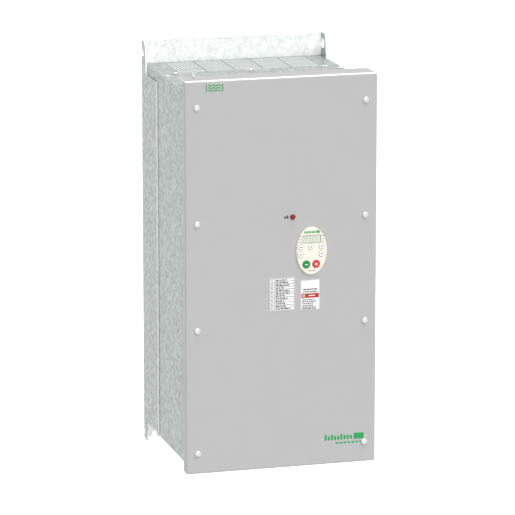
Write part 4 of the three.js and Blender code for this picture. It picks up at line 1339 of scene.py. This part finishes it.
def large_can(box):
    """A screw-terminal capacitor: a sleeved can with a crimp, a rolled edge and a scored top."""
    form = Form()
    radius, length = (box.x1 - box.x0) / 2, box.y1 - box.y0
    place = on("front", box.x, box.y1, box.z)
    form.add(turned([
        (0, 0), (radius - 0.4, 0), (radius, 0.4), (radius, 4), (radius - 0.9, 5), (radius - 0.9, 5.8),
        (radius, 6.8), (radius, length - 2.4), (radius - 0.4, length - 1), (radius - 1.2, length - 0.2),
        (radius - 2.2, length), (radius - 3.4, length - 0.3), (0, length - 0.8),
    ], 56), "sleeve", place)
    top = radius - 4
    form.add(turned([(0, length - 1.2), (top, length - 1.2), (top, length - 0.4), (top - 0.5, length - 0.2),
                     (0, length - 0.2)], 48), "aluminium", place)
    for turned_by in (90, 210, 330):
        score = plate(rectangle(1, top * 0.62, -0.5, 0.5), [(0, length - 0.14), (0, length - 0.6)])
        form.add(score, "shade_line", at(place, 0, 0, 0, turned_by))

    def wrapped(point):
        angle = point.x / radius
        return Vector(((radius + point.z) * math.cos(angle), (radius + point.z) * math.sin(angle), point.y))

    stripe = cut_across(plate(rounded(-5, 5, 9, length - 6, 1), [(0, 0.08), (0, -0.4)]), 0, (-3, -1, 1, 3))
    form.add(moved(stripe, wrapped), "print_white", at(place, 0, 0, 0, 60))
    for k in range(5):
        dash = cut_across(plate(rounded(-2, 2, 16 + 12 * k, 22 + 12 * k, 0.8, 2), [(0, 0.14), (0, -0.4)]),
                          0, (-1, 0, 1))
        form.add(moved(dash, wrapped), "print_dark", at(place, 0, 0, 0, 60))
    return form


for number in range(1, 5):
    make(f"large_capacitor_{number}", large_can(Box(f"capacitor_{number}")), "enclosure",
         [f"capacitor_{number}"])

core, coil = Box("choke_core"), Box("choke_winding")
CORE_BACK = -134.0


def laminated_core():
    """A stack of steel plates with two windows, clamped by angles with bolts through the corners."""
    form = Form()
    depth, count = CORE_BACK - core.y0, 12
    windows = [rectangle(u0, u1, 222, 272) for u0, u1 in ((-42, -15), (15, 42))]
    bolts = [(u, v) for u in (core.x0 + 8, core.x1 - 8) for v in (core.z0 + 6, core.z1 - 6)]
    outline = rounded(core.x0, core.x1, core.z0, core.z1, 1)
    step = depth / count
    for k in range(count):
        sheet = plate(outline, eased(-k * step, -(k + 1) * step + 0.25, 0.2, 1), windows)
        form.add(sheet, "lamination", on("front", y=core.y0))
    for u, v in bolts:
        form.add(turned([(0, 0), (5, 0), (5, 3), (4.4, 3.4), (0, 3.4)], 6), "bright_zinc",
                 on("front", u, core.y0, v))
    for u in (core.x0 + 8, core.x1 - 8):
        form.add(block((u - 8, u + 8), (core.z0, core.z0 + 30), (-core.y1, 1 - CORE_BACK), 0.6),
                 "zinc_sheet", on("front"))
    return form


make("laminated_choke_core", laminated_core(), "enclosure", ["choke_core"])


def wound_coil():
    """Fourteen turns of wire stacked round a bobbin on the middle leg, between two flanges."""
    form = Form()
    leg = rounded(-16, 16, -CORE_BACK - 1.2, -core.y0 + 1.2, 1)
    inner = rounded(coil.x0 + 3, coil.x1 - 3, -coil.y1 + 3, -coil.y0 - 3, 9, 5)
    place = on("bottom")
    form.add(plate(inner, eased(-coil.z0 - 1, -coil.z1 + 1, 0.4), [leg]), "dark_plastic", place)
    for level in (coil.z0, coil.z1 - 1.4):
        flange = rounded(coil.x0, coil.x1, -coil.y1, -coil.y0, 8, 5)
        form.add(plate(flange, eased(-level, -level - 1.4, 0.3), [leg]), "black_plastic", place)
    loop = rounded(coil.x0 + 1.8, coil.x1 - 1.8, coil.y0 + 1.8, coil.y1 - 1.8, 9, 5)
    count = 14
    pitch = (coil.z1 - coil.z0 - 3.2) / count
    for k in range(count):
        z = coil.z0 + 1.6 + (k + 0.5) * pitch
        form.add(tube([(u, v, z) for u, v in loop], pitch / 2 - 0.05, 8, closed=True), "enamel_copper")
    return form


make("wound_choke_coil", wound_coil(), "enclosure", ["choke_winding"])


def filter_can():
    """A metal can with a lid seam, slotted ears and a terminal at each end of its front."""
    box = Box("line_filter")
    form = Form()
    place = on("front", y=box.y0)
    depth, half = box.y1 - box.y0, 95
    form.add(block((-half, half), (box.z0, box.z1), (-depth, -1.4), 1.2), "tin", place)
    form.add(block((-half + 0.6, half - 0.6), (box.z0 + 0.6, box.z1 - 0.6), (-2.4, 0), 0.8), "tin", place)
    slots = [filleted(rectangle(u - 4, u + 4, v - 2.2, v + 2.2), 2.1, 4)
             for u in (box.x0 + 7, box.x1 - 7) for v in (box.z0 + 18, box.z1 - 18)]
    form.add(plate(rounded(box.x0, box.x1, box.z0 + 10, box.z1 - 10, 3), eased(3 - depth, -depth, 0.3),
                   slots), "zinc_sheet", place)
    for sign in (-1, 1):
        for k, v in enumerate(spread(3, 13)):
            u = sign * (half - 14)
            form.add(block((u - 9, u + 9), (box.z + v - 5.6, box.z + v + 5.6), (-0.2, 2.4), 0.4),
                     "black_plastic", place)
            form.add(screw_head(3.6, 1.6), "brass", at(place, u, box.z + v, 2.4))
    sticker = rounded(-46, 46, box.z0 + 8, box.z1 - 8, 2)
    form.add(printed(sticker, 0.08), "label_foil", place)
    for k in range(4):
        u = -38 + 4 * k
        form.add(printed(rectangle(u, u + 46 - 7 * k, box.z1 - 17 - 6 * k, box.z1 - 15.4 - 6 * k), 0.12),
                 "print_grey", place)
    return form


make("line_filter_can", filter_can(), "enclosure", ["line_filter"])


def bent_bracket():
    """A sheet bridge with cooling slots and two arms that are cut away in the middle."""
    box = Box("control_bracket")
    form = Form()
    slots = [rounded(u - 2, u + 2, v, v + 26, 1.9, 4) for u in spread(3, 9)
             for v in (box.z0 + 12, box.z1 - 38)]
    slots += [rounded(sign * 119 - 2, sign * 119 + 2, v, v + 30, 1.9, 4) for sign in (-1, 1)
              for v in spread(4, 50)]
    bridge = plate(rounded(box.x0, box.x1, box.z0, box.z1, 2), eased(0, -SHEET, 0.5, 3), slots,
                   eased(0, -SHEET, 0.2, 1))
    form.add(bridge, "zinc_sheet", on("front", y=box.y0))
    relief = rounded(box.y0 + 30, -130, box.z0 + 30, box.z1 - 30, 6, 4)
    arm = plate(rounded(box.y0 + 0.2, box.y1, box.z0, box.z1, 2), eased(0, -SHEET, 0.4), [relief])
    form.add(arm, "zinc_sheet", on("right", x=box.x1))
    mirrored = [(-u, v) for u, v in reversed(relief)]
    arm = plate(rounded(-box.y1, -box.y0 - 0.2, box.z0, box.z1, 2), eased(0, -SHEET, 0.4), [mirrored])
    form.add(arm, "zinc_sheet", on("left", x=box.x0))
    return form


make("slotted_bracket", bent_bracket(), "enclosure", ["control_bracket"])


def control_circuit():
    """The control board: a processor, smaller chips, sockets, relays, switches and tracks."""
    box = Box("control_board")
    form, place = board(box, 1.6, 8, 3)
    for u, v, length, step, count in ((-60, 30, 52, 6, 6), (16, 34, 56, -6, 6), (-70, -22, 60, 8, 7),
                                      (20, -14, 60, -8, 7), (-40, -60, 80, 6, 6)):
        tracks(form, place, u, v, length, step, count)
    chip(form, place, -8, 12, 26, 26, 16, 2.8)
    for leg in spread(16, 1.5):
        for sign in (-1, 1):
            v = 12 + sign * 13.6
            form.add(bar((leg - 8.3, leg - 7.7), (v - 0.9, v + 0.9), (0, 0.9)), "tin", place)
    for u, v in ((-44, 14), (-44, 40), (30, 20), (30, 44), (56, 20), (56, 44), (-16, -34), (12, -34)):
        chip(form, place, u, v, 8, 13, 9)
    for u in (-78, -62):
        small_can(form, place, u, 70, 5.2, 13, 20)
        small_can(form, place, u, 52, 5.2, 13, 70)
    for u in spread(4, 24):
        box_part(form, place, (u - 9, u + 9), (-66, -50), 12, "blue_plastic")
    header(form, place, 60, 84, 10, 2.54, "fan_label")
    header(form, place, 12, 84, 14, 2.54, "black_plastic")
    header(form, place, 88, 4, 8, 2.54, "fan_label", 90)
    header(form, place, -90, -6, 10, 2.54, "black_plastic", 90)
    form.add(block((-26, -12), (64, 72), (0, 4.4), 0.4), "key_red", place)
    for u in spread(6, 2.0):
        form.add(bar((u - 19.6, u - 18.4), (65.5, 70.5), (4.3, 4.8)), "print_white", place)
    form.add(block((-52, -38), (-8, -3), (0.2, 3.6), 0.9), "tin", place)
    for u in (30, 37, 44):
        form.add(turned([(0, 0), (1.5, 0), (1.5, 3.2), (1.1, 4.1), (0, 4.5)], 16), "key_green",
                 at(place, u, 66))
    for u in spread(9, 6.2):
        for v in (-78, -4):
            form.add(block((u + 55, u + 58.2), (v, v + 1.7), (0, 1), 0.15, 1), "beige_ceramic", place)
    return form


make("control_circuit_board", control_circuit(), "enclosure", ["control_board"])


def terminal_row(box, depth, poles, wall, surface, metal, radius):
    """A terminal block: a body, walls between the poles, and a clamp with a screw in each pole."""
    form = Form()
    place = on("front", y=box.y0)
    form.add(block((box.x0, box.x1), (box.z0, box.z1), (-depth, -wall), 0.6), surface, place)
    pitch = (box.x1 - box.x0) / poles
    half = min(1.0, pitch * 0.08)
    for k in range(poles + 1):
        u = min(max(box.x0 + k * pitch, box.x0 + half), box.x1 - half)
        form.add(block((u - half, u + half), (box.z0, box.z1), (1 - depth, 0), 0.3, 1), surface, place)
    for k in range(poles):
        u = box.x0 + (k + 0.5) * pitch
        size = pitch * 0.34
        clamp = block((u - size, u + size), (box.z0 + 2, box.z1 - 2), (-wall - 0.5, -wall + radius * 0.25),
                      0.3, 1)
        form.add(clamp, metal, place)
        here = at(place, u, box.z, -wall + radius * 0.25, 13 * k)
        form.add(turned([(0, -1), (radius * 0.9, -1), (radius, 0), (radius, radius * 0.3),
                         (radius * 0.85, radius * 0.45), (0, radius * 0.45)], 20), "bright_zinc", here)
        form.add(bar((-radius * 0.8, radius * 0.8), (-radius * 0.1, radius * 0.1),
                     (radius * 0.3, radius * 0.47)), "shade_line", here)
    return form, place


strip = Box("control_terminals")
form, place = terminal_row(strip, strip.y1 - strip.y0, 12, 4, "green_plastic", "tin", 2.6)
make("control_terminal_row", form, "enclosure", ["control_terminals"])

strip = Box("power_terminals")
POWER_BODY = 38.0
form, place = terminal_row(strip, POWER_BODY, 9, 12, "grey_plastic", "brass", 6)
for u in (-80, 80):
    foot = block((u - 10, u + 10), (strip.z0 + 4, strip.z1 - 4), (strip.y0 - strip.y1, 1 - POWER_BODY), 0.5)
    form.add(foot, "grey_plastic", place)
make("power_terminal_row", form, "enclosure", ["power_terminals"])


def drilled_bar():
    """A brass earth bar on two insulating feet, with clamping screws along it."""
    box = Box("earth_bar")
    form = Form()
    place = on("front", y=box.y0)
    places = spread(9, 20)
    bar_shape = plate(rounded(box.x0, box.x1, box.z0, box.z1, 1.5), eased(0, -5, 0.5),
                      [circle(u, box.z, 2.4, 16) for u in places])
    form.add(bar_shape, "brass", place)
    for u in places:
        form.add(screw_head(4, 2.6, 5.6), "bright_zinc", at(place, u, box.z))
    for u in (-95, 95):
        form.add(block((u - 6, u + 6), (box.z0 + 1, box.z1 - 1), (box.y0 - box.y1, -4.5), 0.5),
                 "beige_ceramic", place)
        form.add(screw_head(3.2, 2), "bright_zinc", at(place, u, box.z))
    return form


make("drilled_earth_bar", drilled_bar(), "enclosure", ["earth_bar"])


def keypad_back():
    """The keypad's tray behind the cover: an oval shell, a small board in it and four screws."""
    box = Box("keypad_board")
    form = Form()
    depth = box.y1 - box.y0
    half_u, half_v = (box.x1 - box.x0) / 2, (box.z1 - box.z0) / 2
    place = on("back", box.x, box.y1, box.z)
    shell = circle(0, 0, half_u, 56, half_v)
    form.add(plate(shell, eased(0, -depth, 0.8, 3), [circle(0, 0, half_u - 1.6, 56, half_v - 1.6)],
                   [(0, 0), (0, -depth)]), "black_plastic", place)
    form.add(plate(circle(0, 0, half_u - 1.5, 56, half_v - 1.5), [(0, -6), (0, -depth + 0.1)]),
             "dark_plastic", place)
    form.add(plate(rounded(-16, 16, -26, 26, 3), eased(-3.4, -6.1, 0.2, 1)), "solder_mask", place)
    on_board = at(place, 0, 0, -3.4)
    header(form, on_board, 0, -16, 6, 2.54, "fan_label")
    chip(form, on_board, 0, 6, 9, 12, 8, 1.8)
    tracks(form, on_board, -13, 14, 24, 3, 4, 0.6, 1.4)
    for u in (-12, 12):
        for v in (-21, 21):
            form.add(screw_head(2.4, 1.5), "bright_zinc", at(on_board, u, v))
    return form


make("keypad_back_shell", keypad_back(), "cover", ["keypad_board"])

# ---------------------------------------------------------------- studio

def studio_surface():
    """Matt and pale: light grey around the object, turning white towards the backdrop."""
    surface = Nodes("studio_white", Roughness=0.9)
    depth = surface.node("ShaderNodeSeparateXYZ")
    surface.join(surface.stretched(1, 0.4, 1), depth.inputs["Vector"])
    surface.color(surface.ramp(depth.outputs["Y"], [
        (0.3, (0.38, 0.38, 0.38)), (0.9, (0.87, 0.87, 0.87))]))
    return surface.material


def floor_sweep():
    """A pale floor that curves up into a backdrop behind the object."""
    half, front, back, height, radius = 30.0, -30.0, 6.0, 14.0, 3.0
    level = cad_box[0][2] - 0.9
    line = [(front, level), (back - radius, level)]
    line += [(back - radius + radius * math.sin(a), level + radius * (1 - math.cos(a)))
             for a in [math.pi / 2 * k / 16 for k in range(1, 17)]]
    line.append((back, height))
    points = [(x, y, z) for y, z in line for x in (-half, half)]
    faces = [[2 * k, 2 * k + 1, 2 * k + 3, 2 * k + 2] for k in range(len(line) - 1)]
    mesh = bpy.data.meshes.new("studio_floor")
    mesh.from_pydata(points, [], faces)
    mesh.materials.append(studio_surface())
    for polygon in mesh.polygons:
        polygon.use_smooth = True
    sweep = bpy.data.objects.new("studio_floor", mesh)
    bpy.context.scene.collection.objects.link(sweep)


def wide_light(name, towards, strength, spread):
    """Even light from a broad patch of sky in one direction."""
    light = bpy.data.lights.new(name, "SUN")
    light.energy = strength
    light.angle = math.radians(spread)
    holder = bpy.data.objects.new(name, light)
    bpy.context.scene.collection.objects.link(holder)
    holder.rotation_euler = Vector(towards).to_track_quat("Z", "Y").to_euler()


def camera():
    """The viewing angle: a long lens, turned 15.7 degrees to the left side and 12.8 degrees down."""
    yaw, pitch, distance = math.radians(15.7126), math.radians(12.7772), 5.84446
    aim = Vector((-0.037637, -0.285, 0.027713))
    forward = Vector((math.sin(yaw) * math.cos(pitch), math.cos(yaw) * math.cos(pitch),
                      -math.sin(pitch)))
    data = bpy.data.cameras.new("camera")
    data.sensor_width = 36
    data.lens = 262.152699
    data.clip_start, data.clip_end = 0.1, 100
    view = bpy.data.objects.new("camera", data)
    view.location = aim - forward * distance
    view.rotation_euler = forward.to_track_quat("-Z", "Y").to_euler()
    bpy.context.scene.collection.objects.link(view)
    bpy.context.scene.camera = view


floor_sweep()
camera()
wide_light("key_above_right", (0.25, -0.58, 0.78), 1.35, 20)
wide_light("front_fill", (-0.12, -1.0, 0.12), 1.05, 12)
wide_light("top_soft", (0.1, 0.1, 1.0), 2.8, 50)

world = bpy.data.worlds.new("studio_air")
world.use_nodes = True
world.node_tree.nodes["Background"].inputs["Color"].default_value = (1, 1, 1, 1)
world.node_tree.nodes["Background"].inputs["Strength"].default_value = 0.40
bpy.context.scene.world = world
bpy.context.scene.view_settings.view_transform = "Standard"
bpy.context.scene.view_settings.look = "None"

bpy.context.view_layer.update()
